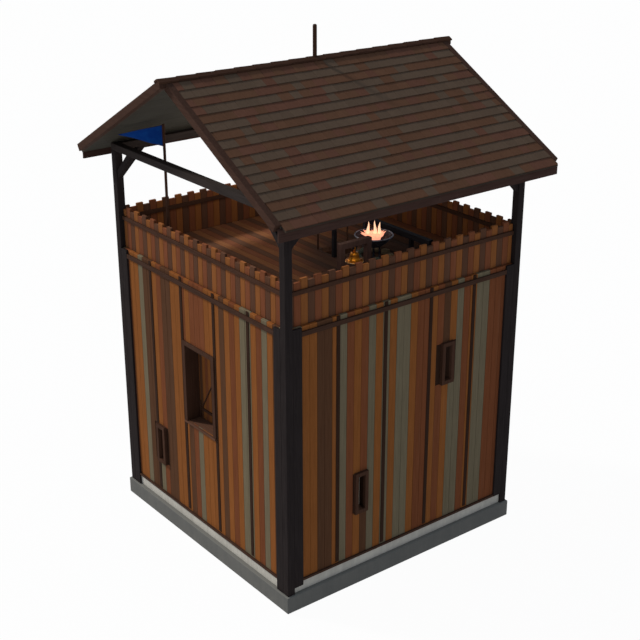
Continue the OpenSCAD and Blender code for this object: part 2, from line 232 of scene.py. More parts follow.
class Graph(Nodes):
    """A material or a world whose nodes are added by expressions."""

    def __init__(self, name: str, world: bool = False) -> None:
        """Starts an empty material or world.

        Args:
            name: Its name.
            world: Whether it is a world.
        """
        self.made = (bpy.data.worlds if world else bpy.data.materials).new(name)
        self.made.use_nodes = True
        super().__init__(self.made.node_tree)
        self.tree.nodes.clear()

    def out(self, kind: str, output: Any = 0, settings: dict[str, Any] | None = None,
            inputs: dict[Any, Any] | None = None) -> Val:
        """Adds one node and returns one of its outputs.

        Args:
            kind: Node type.
            output: Name or number of the output.
            settings: As for node.
            inputs: As for node.

        Returns:
            The output.
        """
        return Val(self, self.node(kind, settings, inputs).outputs[output])

    def math(self, operation: str, *values: "Val | float") -> Val:
        """Math node on values."""
        return self.out("ShaderNodeMath", 0, {"operation": operation}, dict(enumerate(values)))

    def vector(self, operation: str, *values: Any) -> Val:
        """Vector Math node on vectors."""
        return self.out("ShaderNodeVectorMath", 0, {"operation": operation},
                        dict(enumerate(values)))

    def place(self) -> Val:
        """Object coordinates."""
        return self.out("ShaderNodeTexCoord", "Object")

    def parts(self, vector: Val) -> tuple[Val, Val, Val]:
        """The three numbers of a vector."""
        split = self.node("ShaderNodeSeparateXYZ", None, {0: vector})
        return tuple(Val(self, split.outputs[i]) for i in range(3))

    def attribute(self, name: str, output: str = "Fac") -> Val:
        """A named attribute of the mesh."""
        return self.out("ShaderNodeAttribute", output,
                        {"attribute_type": "GEOMETRY", "attribute_name": name})

    def noise(self, vector: Val, scale: float, detail: float = 2.0, rough: float = 0.5,
              twist: float = 0.0) -> Val:
        """Noise of 0 to 1.

        Args:
            vector: Where it is read.
            scale: Grains per metre.
            detail: Octaves.
            rough: Share of the finer octaves.
            twist: Distortion.

        Returns:
            The noise.
        """
        return self.out("ShaderNodeTexNoise", "Fac", None,
                        {"Vector": vector, "Scale": scale, "Detail": detail,
                         "Roughness": rough, "Distortion": twist})

    def cells(self, vector: Val, scale: float) -> Val:
        """Distance to the nearest of scattered points, a number of them per metre."""
        return self.out("ShaderNodeTexVoronoi", "Distance", None,
                        {"Vector": vector, "Scale": scale})

    def band(self, value: Val, low: float, high: float, start: float = 0.0,
             end: float = 1.0) -> Val:
        """Smooth step of a value from start at low to end at high."""
        return self.out("ShaderNodeMapRange", 0, {"interpolation_type": "SMOOTHSTEP"},
                        {"Value": value, "From Min": low, "From Max": high,
                         "To Min": start, "To Max": end})

    def mix(self, factor: "Val | float", first: Any, second: Any, blend: str = "MIX") -> Val:
        """Mixes two colours.

        Args:
            factor: Share of the second.
            first: Colour or link.
            second: Colour or link.
            blend: Blend type.

        Returns:
            The colour.
        """
        pair = [(*c, 1.0) if isinstance(c, tuple) else c for c in (first, second)]
        return self.out("ShaderNodeMix", 2, {"data_type": "RGBA", "blend_type": blend},
                        {0: factor, 6: pair[0], 7: pair[1]})

    def shaded(self, colour: Val, amount: Val) -> Val:
        """Colour times a number, kept as a colour."""
        grey = self.out("ShaderNodeCombineColor", 0, None, {0: amount, 1: amount, 2: amount})
        return self.mix(1.0, colour, grey, "MULTIPLY")

    def rays(self, *kinds: str) -> Val:
        """1 for rays of any of the kinds, else 0."""
        path = self.node("ShaderNodeLightPath")
        return functools.reduce(Val.most, (Val(self, path.outputs[f"Is {kind} Ray"])
                                           for kind in kinds))

    def bump(self, height: Val, depth: float, strength: float) -> Val:
        """Normal from a height of 0 to 1.

        Args:
            height: The height.
            depth: Metres that a height of 1 stands for.
            strength: Share of the effect.

        Returns:
            The normal.
        """
        return self.out("ShaderNodeBump", 0, None,
                        {"Height": height, "Distance": depth, "Strength": strength})

    def surface(self, **sockets: Any) -> Material:
        """Ends the material in a Principled shader.

        Args:
            **sockets: Socket values by name, with _ for each space.

        Returns:
            The material.
        """
        named = {key.replace("_", " "): value for key, value in sockets.items()}
        shader = self.out("ShaderNodeBsdfPrincipled", 0, None, named)
        self.node("ShaderNodeOutputMaterial", None, {"Surface": shader})
        return self.made


# ---- finishes ----


@dataclass(frozen=True)
class Board:
    """Finish of sawn boards cut from several stocks, with grain along each board.

    Streaks, fibres and rings are counted per metre. Shuffle moves the grain from board to
    board, and the soot-and-shade patch is the place and the reach of a dark patch round the
    fire, partly soot and partly painted shade where the roof shades the deck.
    """

    name: str
    way: Way
    amber: RGB = srgb(124, 74, 36)
    russet: RGB = srgb(106, 60, 36)
    umber: RGB = srgb(79, 52, 35)
    grey: RGB = srgb(103, 92, 72)
    contrast: float = 0.30
    wear: float = 0.5
    # Paler board ends: partly end grain, partly painted light on the tops of boards.
    ends: float = 0.32
    # Place and reach of a dark patch: soot round the fire and painted shade under the roof.
    ash: tuple[float, float, float] | None = None
    streaks: float = 26.0
    fibres: float = 160.0
    rings: float = 60.0
    shuffle: tuple[float, float, float] = (37.0, 53.0, 19.0)
    bleached: RGB = srgb(112, 100, 86)
    # Colour of that dark patch: soot and painted shade.
    soot: RGB = srgb(58, 46, 40)
    relief: float = 0.006
    shine: float = 0.03

    def make(self) -> Material:
        """Builds the material.

        Returns:
            The material.
        """
        g = Graph(self.name)
        shade, tone = g.attribute("shade"), g.attribute("tone")
        across = g.parts(g.attribute("local", "Vector"))
        shift = g.out("ShaderNodeCombineXYZ", 0, None,
                      {i: shade * reach for i, reach in enumerate(self.shuffle)})
        at = g.vector("ADD", g.place(), shift)
        long = g.vector("MULTIPLY", at, self.way.value)
        broad = g.vector("MULTIPLY", at, tuple(0.35 * s + 0.01 for s in self.way.value))
        streak = g.noise(long, self.streaks, 4.0, 0.62, 0.3)
        fibre = g.noise(long, self.fibres, 2.0, 0.6)
        ring = g.noise(broad, self.rings, 3.0, 0.5, 1.6)
        stain = g.noise(at, 1.3, 3.0, 0.6)
        colour = g.out("ShaderNodeValToRGB", "Color", {
            "stops": [(0.0, self.amber), (0.25, self.russet), (0.5, self.umber),
                      (0.75, self.grey)]}, {"Fac": tone})
        colour.socket.node.color_ramp.interpolation = "CONSTANT"
        light = (g.band(streak, 0.32, 0.70) * 0.45 + g.band(ring, 0.3, 0.7) * 0.30
                 + fibre * 0.25)
        amount = (light * self.contrast + (1.0 - 0.5 * self.contrast)
                  + (shade - 0.5) * 0.10 + (stain - 0.5) * 0.16)
        length, width = {Way.X: (0, 1), Way.Y: (1, 0), Way.Z: (2, 0)}[self.way]
        edge = g.band(across[width].size(), 0.485, 0.5, 0.0, 0.45 * self.wear)
        # Ends of the boards are paler: partly end grain, partly painted light on the tops of the
        # parapet boards and ledge strips.
        end = g.band(across[length].size(), 0.496, 0.499, 0.0, self.ends)
        amount = amount * (1.0 - edge) * (end + 1.0)
        weather = g.band(g.noise(long, 9.0, 3.0, 0.6), 0.55, 0.75, 0.0, 0.10 * self.wear)
        colour = g.mix(weather, colour, self.bleached)
        # Dark patch round the fire: partly soot, partly painted shade of the roof on the deck.
        if self.ash:
            x, y, reach = self.ash
            east, north, _ = g.parts(g.place())
            away = (((east - x) * (east - x) + (north - y) * (north - y)) ** 0.5
                    + (stain - 0.5) * 0.5)
            colour = g.mix(g.band(away, 0.62 * reach, 1.25 * reach, 0.80, 0.0), colour,
                           self.soot)
        height = streak * 0.6 + fibre * 0.4
        return g.surface(Base_Color=g.shaded(colour, amount),
                         Roughness=g.band(streak, 0.2, 0.8, 0.92, 0.70),
                         Specular_IOR_Level=self.shine, Normal=g.bump(height, self.relief, 0.6))


@dataclass(frozen=True)
class Timber:
    """Finish of squared, stained timber of one stock, grain along one direction."""

    name: str
    way: Way
    colour: RGB
    worn: RGB
    contrast: float
    roughness: float = 0.78
    streaks: float = 34.0
    fibres: float = 190.0
    splits: float = 15.0
    relief: float = 0.005
    shine: float = 0.04

    def make(self) -> Material:
        """Builds the material.

        Returns:
            The material.
        """
        g = Graph(self.name)
        at = g.place()
        long = g.vector("MULTIPLY", at, self.way.value)
        streak = g.noise(long, self.streaks, 4.0, 0.6, 0.4)
        fibre = g.noise(long, self.fibres, 2.0, 0.6)
        checks = g.band(g.noise(long, self.splits, 3.0, 0.7, 0.8), 0.30, 0.36, 1.0, 0.0)
        stain = g.noise(at, 1.7, 3.0, 0.55)
        rub = g.band(g.noise(at, 5.0, 4.0, 0.7), 0.56, 0.78)
        colour = g.mix(rub * 0.35, self.colour, self.worn)
        amount = (g.band(streak, 0.3, 0.7) * self.contrast + (1.0 - 0.5 * self.contrast)
                  + (fibre - 0.5) * 0.18 + (stain - 0.5) * 0.22) * (1.0 - checks * 0.28)
        height = streak * 0.5 + fibre * 0.2 - checks * 0.5
        return g.surface(Base_Color=g.shaded(colour, amount),
                         Roughness=(g.band(streak, 0.2, 0.8, 0.08, -0.08) + self.roughness),
                         Specular_IOR_Level=self.shine, Normal=g.bump(height, self.relief, 0.7))


@dataclass(frozen=True)
class Masonry:
    """Finish of cast concrete or rendered stone; painted light makes it paler above a level."""

    name: str
    colour: RGB
    dark: RGB
    grit: float = 120.0
    pits: float = 0.3
    painted_top_light: tuple[float, RGB] | None = None
    painted_top_light_edge: tuple[float, float] = (0.010, 0.002)
    clouds: float = 1.6
    mottles: float = 14.0
    pores: float = 46.0
    relief: float = 0.004

    def make(self) -> Material:
        """Builds the material.

        Returns:
            The material.
        """
        g = Graph(self.name)
        at = g.place()
        cloud = g.noise(at, self.clouds, 5.0, 0.6)
        mottle = g.noise(at, self.mottles, 4.0, 0.65)
        grain = g.noise(at, self.grit, 2.0, 0.6)
        holes = g.band(g.cells(at, self.pores), 0.04, 0.14, 1.0, 0.0) * g.band(
            g.noise(at, 9.0), 0.55, 0.65)
        runs = g.noise(g.vector("MULTIPLY", at, (6.0, 6.0, 0.7)), 2.0, 4.0, 0.6)
        colour = g.mix(g.band(cloud * 0.6 + runs * 0.4, 0.34, 0.66), self.dark, self.colour)
        # Painted light: the top of the ledge is made paler, for the light that falls on it.
        if self.painted_top_light:
            level, pale = self.painted_top_light
            low, high = (level - under for under in self.painted_top_light_edge)
            colour = g.mix(g.band(g.parts(at)[2], low, high), colour, pale)
        amount = (0.90 + mottle * 0.12 + grain * 0.10) * (1.0 - holes * self.pits)
        height = grain * 0.35 + mottle * 0.65 - holes
        return g.surface(Base_Color=g.shaded(colour, amount),
                         Roughness=g.band(mottle, 0.2, 0.8, 0.82, 0.95),
                         Specular_IOR_Level=0.25, Normal=g.bump(height, self.relief, 0.6))


@dataclass(frozen=True)
class Rock:
    """Finish of loose hearth stones, each with its own tint."""

    name: str
    cold: RGB = srgb(74, 80, 68)
    warm: RGB = srgb(118, 98, 70)
    speck: RGB = srgb(40, 40, 38)
    relief: float = 0.008

    def make(self) -> Material:
        """Builds the material.

        Returns:
            The material.
        """
        g = Graph(self.name)
        at = g.place()
        spots = g.noise(at, 60.0, 4.0, 0.7)
        cloud = g.noise(at, 12.0, 4.0, 0.6)
        colour = g.mix(g.attribute("tone"), self.cold, self.warm)
        colour = g.mix(g.band(spots, 0.56, 0.66) * 0.4, colour, self.speck)
        return g.surface(Base_Color=g.shaded(colour, 0.78 + cloud * 0.44),
                         Roughness=g.band(cloud, 0.2, 0.8, 0.8, 0.95),
                         Specular_IOR_Level=0.3,
                         Normal=g.bump(spots * 0.4 + cloud * 0.6, self.relief, 0.8))


@dataclass(frozen=True)
class Metal:
    """Finish of forged iron or cast bronze; tarnished is the share under tarnish."""

    name: str
    colour: RGB
    tarnish: RGB
    metallic: float
    roughness: float
    tarnished: float
    dent: float

    def make(self) -> Material:
        """Builds the material.

        Returns:
            The material.
        """
        g = Graph(self.name)
        at = g.place()
        cloud = g.noise(at, 16.0, 4.0, 0.65)
        fine = g.noise(at, 220.0, 2.0, 0.5)
        hammer = g.cells(at, 42.0)
        spread = g.band(cloud, 0.62 - 0.3 * self.tarnished, 0.78 - 0.3 * self.tarnished)
        colour = g.mix(spread, self.colour, self.tarnish)
        return g.surface(Base_Color=g.shaded(colour, 0.88 + fine * 0.24),
                         Metallic=self.metallic * (1.0 - spread * 0.45),
                         Roughness=spread * 0.22 + fine * 0.08 + self.roughness,
                         Normal=g.bump(hammer * 0.7 + fine * 0.1, self.dent, 0.5))


@dataclass(frozen=True)
class Cloth:
    """Finish of woven bunting, with a weave that follows the cloth and a sewn hem.

    Threads and stitches are counted per metre.
    """

    name: str
    colour: RGB = srgb(5, 49, 121)
    pale: RGB = srgb(14, 70, 141)
    yarn: RGB = srgb(90, 120, 170)
    threads: float = 520.0
    stitch: float = 0.012
    hem: float = 0.018
    relief: float = 0.0006

    def make(self) -> Material:
        """Builds the material.

        Returns:
            The material.
        """
        g = Graph(self.name)
        flat = g.attribute("flat", "Vector")
        along, across, edge = g.parts(flat)
        warp = g.math("SINE", along * (self.threads * math.tau / 2)) * 0.5 + 0.5
        weft = g.math("SINE", across * (self.threads * math.tau / 2)) * 0.5 + 0.5
        weave = warp * weft
        fade = g.noise(flat, 5.0, 3.0, 0.6)
        slub = g.noise(g.vector("MULTIPLY", flat, (1.0, 14.0, 1.0)), 22.0, 2.0)
        sewn = g.band((edge - self.hem).size(), 0.0012, 0.0024, 1.0, 0.0)
        dashes = g.band(g.math("SINE", along * (math.tau / self.stitch)), -0.3, 0.2)
        seam = g.band(edge, self.hem + 0.001, self.hem + 0.005, 1.0, 0.0)
        colour = g.mix(g.band(fade, 0.35, 0.75) * 0.55 + slub * 0.2, self.colour, self.pale)
        colour = g.mix(sewn * dashes * 0.5, colour, self.yarn)
        height = weave * 0.5 + seam * 0.8 - sewn * 0.6
        return g.surface(Base_Color=g.shaded(colour, 0.86 + weave * 0.22 - seam * 0.10),
                         Roughness=0.80 + slub * 0.1, Specular_IOR_Level=0.06,
                         Sheen_Weight=0.04, Normal=g.bump(height, self.relief, 0.8))


@dataclass(frozen=True)
class Ember:
    """Finish of glowing coals and flame, from pale core to orange rim."""

    name: str
    core: RGB
    rim: RGB
    strength: float

    def make(self) -> Material:
        """Builds the material.

        Returns:
            The material.
        """
        g = Graph(self.name)
        flicker = g.noise(g.place(), 26.0, 3.0, 0.6)
        share = g.band(g.attribute("heat") * 0.8 + flicker * 0.4, 0.25, 0.85)
        glow = g.mix(share, self.rim, self.core)
        return g.surface(Base_Color=glow, Roughness=0.6 + flicker * 0.3,
                         Emission_Color=glow, Emission_Strength=self.strength,
                         Specular_IOR_Level=0.1)


class Stain(Enum):
    """Stains of timber: name, colour, worn colour, contrast and roughness."""

    POST = ("charcoal timber {}", srgb(37, 31, 30), srgb(47, 41, 38), 0.26, 0.78)
    # The beams' copy of the charcoal stain is lighter: painted light where the roof shades them.
    BEAM = ("worn charcoal timber {}", srgb(49, 42, 39), srgb(64, 55, 51), 0.26, 0.78)
    TRIM = ("brown timber {}", srgb(64, 42, 31), srgb(82, 60, 46), 0.28, 0.78)
    GIRT = ("rail timber {}", srgb(62, 42, 32), srgb(80, 60, 47), 0.28, 0.78)
    BATTEN = ("dark brown timber {}", srgb(48, 31, 22), srgb(66, 47, 36), 0.28, 0.78)
    BARGE = ("weathered timber {}", srgb(64, 44, 35), srgb(84, 62, 52), 0.28, 0.78)
    FASCIA = ("dry fascia timber", srgb(61, 43, 37), srgb(79, 59, 51), 0.28, 0.78)
    SILL = ("sill board", srgb(88, 60, 46), srgb(108, 80, 64), 0.24, 0.78)
    # The bell stand's timber is painted lighter, for light that its faces lack under the roof.
    BELL_STAND = ("bell stand timber", srgb(84, 63, 55), srgb(106, 85, 76), 0.26, 0.78)
    TAR = ("tarred timber {}", srgb(38, 35, 37), srgb(62, 58, 56), 0.3, 0.66)


WALL_BOARDS = Board("mixed boards Z", Way.Z)
PARAPET_BOARDS = Board("parapet boards", Way.Z, srgb(125, 76, 40), srgb(111, 64, 41),
                       srgb(84, 56, 41), srgb(108, 97, 78))
DECK_PLANKS = Board("deck planks", Way.X, srgb(124, 81, 53), srgb(113, 70, 49),
                    srgb(90, 63, 48), srgb(108, 98, 80))
SARKING = Board("sarking boards", Way.Y, umber=srgb(60, 50, 42), grey=srgb(60, 57, 50),
                contrast=0.2)
SHINGLES = Board("cedar shingles", Way.X, srgb(88, 61, 45), srgb(90, 60, 47),
                 srgb(80, 62, 49), srgb(84, 68, 55), contrast=0.20, wear=0.2, ends=0.0)
CONCRETE = Masonry("concrete", srgb(95, 93, 88), srgb(87, 86, 82))
# Paler colour of the slab's ledge top: painted light.
LEDGE_PAINTED_LIGHT = srgb(110, 108, 102)
PLINTH = Masonry("pale plinth", srgb(184, 178, 166), srgb(166, 160, 149), grit=160.0)
HEARTH_STONE = Rock("hearth stone")
FORGED_IRON = Metal("forged iron", srgb(58, 62, 70), srgb(34, 33, 36), 0.75, 0.42, 0.55, 0.0025)
# Pale grey iron for the brazier's ring.
PALE_HOOP = Metal("worn hoop", srgb(152, 150, 158), srgb(100, 98, 104), 0.4, 0.45, 0.6, 0.0015)
SOOTY_IRON = Metal("sooty iron", srgb(70, 72, 82), srgb(46, 46, 52), 0.25, 0.70, 0.9, 0.003)
BELL_METAL = Metal("bell metal", srgb(196, 120, 24), srgb(124, 68, 10), 0.85, 0.30, 0.45,
                   0.0008)
# Pale bronze for the bead on the bell's lip: a painted highlight.
HIGHLIGHT_RIM_METAL = Metal("polished rim", srgb(250, 214, 156), srgb(216, 178, 118), 0.25, 0.32,
                     0.40, 0.0004)
COALS = Ember("glowing coals", srgb(255, 206, 176), srgb(250, 172, 140), 0.92)
FLAME = Ember("flame", srgb(255, 222, 186), srgb(255, 205, 165), 1.0)
BUNTING = Cloth("blue bunting")


# ---- geometry ----


def link(name: str, mesh: Mesh, material: Material | None = None,
         smooth: bool = False) -> Object:
    """Links a mesh as an object at the origin.

    Args:
        name: Name of the piece.
        mesh: Its mesh, in place.
        material: Its finish.
        smooth: Whether its faces are shaded smooth.

    Returns:
        The object.
    """
    made = bpy.data.objects.new(name, mesh)
    bpy.context.scene.collection.objects.link(made)
    if material:
        mesh.materials.clear()
        mesh.materials.append(material)
    for face in mesh.polygons:
        face.use_smooth = smooth
    return made


def from_bmesh(name: str, shape: BMesh, material: Material,
               smooth: bool = False, outward: bool = True) -> Object:
    """Turns a bmesh into a linked object.

    Args:
        name: Name of the piece.
        shape: The bmesh, which is freed.
        material: Its finish.
        smooth: Whether its faces are shaded smooth.
        outward: Whether doubles are merged and normals recalculated.

    Returns:
        The object.
    """
    if outward:
        bmesh.ops.remove_doubles(shape, verts=shape.verts, dist=WELD)
        bmesh.ops.recalc_face_normals(shape, faces=shape.faces)
    mesh = bpy.data.meshes.new(name)
    shape.to_mesh(mesh)
    shape.free()
    return link(name, mesh, material, smooth)


def ease(piece: Object, width: float, segments: int = 1) -> None:
    """Rounds the arrises of a piece with a Bevel modifier.

    Args:
        piece: The piece.
        width: Width of the rounding.
        segments: Its segments.
    """
    bevel = piece.modifiers.new("ease", "BEVEL")
    bevel.width = width
    bevel.segments = segments
    bevel.limit_method = "ANGLE"
    bevel.angle_limit = SHARP_ANGLE


def bake(piece: Object, modifier: Modifier) -> None:
    """Keeps the shape that a modifier gives to a piece and removes the modifier.

    Args:
        piece: The piece.
        modifier: Its modifier.
    """
    graph = bpy.context.evaluated_depsgraph_get()
    mesh = bpy.data.meshes.new_from_object(piece.evaluated_get(graph),
                                           preserve_all_data_layers=True, depsgraph=graph)
    mesh.name = piece.name
    piece.modifiers.remove(modifier)
    piece.data = mesh


def dress(piece: Object, slot: str, *nodes: str, body: str = TOWER) -> Object:
    """Attaches a piece to its body and hides the nodes that it replaces.

    Args:
        piece: The piece.
        slot: Not used.
        *nodes: Nodes that it replaces.
        body: Body that it rides on.

    Returns:
        The piece.
    """
    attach(piece, body)
    if nodes:
        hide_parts(*nodes)
    return piece


def eased(name: str, node: str, material: Material, width: float, slot: str,
          segments: int = 2) -> Object:
    """Stands a copy with worn arrises for a solid of the frame.

    Args:
        name: Name of the piece.
        node: Node that it replaces.
        material: Its finish.
        width: Width of the worn arris.
        slot: Not used; dress, which it is passed on to, does not read it.
        segments: Segments of the arris.

    Returns:
        The piece.
    """
    shape = bmesh.new()
    shape.from_mesh(bpy.data.objects[node].data)
    bmesh.ops.remove_doubles(shape, verts=shape.verts, dist=SOLID_WELD)
    bmesh.ops.dissolve_limit(shape, angle_limit=FLAT_ANGLE, verts=shape.verts,
                             edges=shape.edges)
    piece = from_bmesh(name, shape, material, outward=False)
    ease(piece, width, segments)
    return dress(piece, slot, node)


def box_foot(node: str) -> Vector:
    """Centre of the foot of a node's box."""
    low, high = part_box(node)
    return Vector(((low.x + high.x) / 2, (low.y + high.y) / 2, low.z))


def add_box(shape: BMesh, low: Vector, high: Vector) -> None:
    """Adds a box to a bmesh.

    Args:
        shape: The bmesh.
        low: Lowest corner.
        high: Highest corner.
    """
    corners = [shape.verts.new((x, y, z)) for x in (low[0], high[0])
               for y in (low[1], high[1]) for z in (low[2], high[2])]
    for quad in ((0, 1, 3, 2), (4, 6, 7, 5), (0, 4, 5, 1), (2, 3, 7, 6), (0, 2, 6, 4),
                 (1, 5, 7, 3)):
        shape.faces.new([corners[i] for i in quad])


def lathe(shape: BMesh, profile: list[tuple[float, float]], centre: Vector,
          around: int) -> None:
    """Adds a turned form to a bmesh.

    Args:
        shape: The bmesh.
        profile: Radius and level, from one end to the other; a radius of 0 is a pole.
        centre: Foot of the axis.
        around: Segments round the axis.
    """
    rings = []
    for radius, level in profile:
        if radius < WELD:
            rings.append([shape.verts.new(centre + Vector((0, 0, level)))])
        else:
            rings.append([shape.verts.new(centre + Vector((
                radius * math.cos(math.tau * i / around),
                radius * math.sin(math.tau * i / around), level))) for i in range(around)])
    for lower, upper in zip(rings, rings[1:]):
        for i in range(around):
            j = (i + 1) % around
            quad = [lower[i % len(lower)], lower[j % len(lower)], upper[j % len(upper)],
                    upper[i % len(upper)]]
            unique = list(dict.fromkeys(quad))
            if len(unique) > 2:
                shape.faces.new(unique)


def turned(name: str, profile: list[tuple[float, float]], centre: Vector,
           material: Material, around: int, smooth: bool = True) -> Object:
    """Makes a turned piece.

    Args:
        name: Name of the piece.
        profile: Radius and level, as for lathe.
        centre: Foot of the axis.
        material: Its finish.
        around: Segments round the axis.
        smooth: Whether its faces are shaded smooth.

    Returns:
        The piece.
    """
    shape = bmesh.new()
    lathe(shape, profile, centre, around)
    return from_bmesh(name, shape, material, smooth)


def round_bar(reach: float, level: float, bar: float, steps: int) -> list[tuple[float, float]]:
    """Profile of a round bar that is bent to a ring of a reach at a level."""
    return [(reach + bar * math.cos(math.tau * i / steps),
             level + bar * math.sin(math.tau * i / steps)) for i in range(steps + 1)]


def curve_through(points: list[tuple[float, float]], steps: int) -> list[tuple[float, float]]:
    """Smooth curve through flat points.

    Args:
        points: The points.
        steps: Steps between two points.

    Returns:
        The points of the curve.
    """
    result = []
    last = len(points) - 1
    for i in range(last):
        before, here, there, after = (points[max(i - 1, 0)], points[i], points[i + 1],
                                      points[min(i + 2, last)])
        for step in range(steps):
            t = step / steps
            result.append(tuple(0.5 * (2 * h + (n - b) * t + (2 * b - 5 * h + 4 * n - a) * t * t
                                       + (3 * h - b - 3 * n + a) * t ** 3)
                                for b, h, n, a in zip(before, here, there, after)))
    return result + [points[-1]]


@dataclass
class Piece:
    """One board, plank, shingle or coal of a repeated run."""

    centre: Vector
    size: Vector
    turn: tuple[float, float, float] = (0.0, 0.0, 0.0)
    tone: float = Tone.AMBER.value


class Tree(Nodes):
    """A geometry node tree with named inputs."""

    def __init__(self, name: str, inputs: dict[str, str]) -> None:
        """Starts a tree, whose last inputs are always Wobble, Seed and Finish.

        Args:
            name: Name of the tree.
            inputs: Socket type by input name.
        """
        super().__init__(bpy.data.node_groups.new(name, "GeometryNodeTree"))
        face = self.tree.interface
        face.new_socket("Geometry", in_out="OUTPUT", socket_type="NodeSocketGeometry")
        face.new_socket("Geometry", in_out="INPUT", socket_type="NodeSocketGeometry")
        inputs = {**inputs, "Wobble": "NodeSocketFloat", "Seed": "NodeSocketInt",
                  "Finish": "NodeSocketMaterial"}
        self.keys = {label: face.new_socket(label, in_out="INPUT", socket_type=kind).identifier
                     for label, kind in inputs.items()}
        self.start = self.tree.nodes.new("NodeGroupInput")

    def input(self, label: str) -> NodeSocket:
        """Socket of a named input inside the tree."""
        return self.start.outputs[label]

    def named(self, label: str) -> NodeSocket:
        """Reads a named vector of each point."""
        return self.node("GeometryNodeInputNamedAttribute", {"data_type": "FLOAT_VECTOR"},
                         {"Name": label}).outputs[0]

    def wobble(self) -> NodeSocket:
        """Random turn of up to the Wobble input, either way.

        Returns:
            The turn about each axis.
        """
        value = self.node("FunctionNodeRandomValue", {"data_type": "FLOAT_VECTOR"},
                          {"Min": (-1, -1, -1), "Max": (1, 1, 1),
                           "Seed": self.input("Seed")}).outputs[0]
        return self.node("ShaderNodeVectorMath", {"operation": "SCALE"},
                         {0: value, "Scale": self.input("Wobble")}).outputs[0]

    def end(self, instances: NodeSocket) -> None:
        """Gives each instance a random shade, realizes them, sets the finish and ends.

        Args:
            instances: The instances.
        """
        chance = self.node("FunctionNodeRandomValue", {"data_type": "FLOAT"},
                           {"Seed": self.input("Seed")}).outputs[1]
        shade = self.node("GeometryNodeStoreNamedAttribute",
                          {"data_type": "FLOAT", "domain": "INSTANCE"},
                          {"Geometry": instances, "Name": "shade", "Value": chance}).outputs[0]
        real = self.node("GeometryNodeRealizeInstances", None, {0: shade}).outputs[0]
        done = self.node("GeometryNodeSetMaterial", None,
                         {"Geometry": real, "Material": self.input("Finish")}).outputs[0]
        self.node("NodeGroupOutput", None, {0: done})

    def apply(self, piece: Object, values: dict[str, Any]) -> Object:
        """Runs the tree on an object and leaves its plain mesh there.

        Args:
            piece: The object, which holds the input mesh.
            values: Value by input name.

        Returns:
            The same object with the resulting mesh.
        """
        modifier = piece.modifiers.new("made", "NODES")
        modifier.node_group = self.tree
        for label, value in values.items():
            modifier[self.keys[label]] = value
        bake(piece, modifier)
        return piece


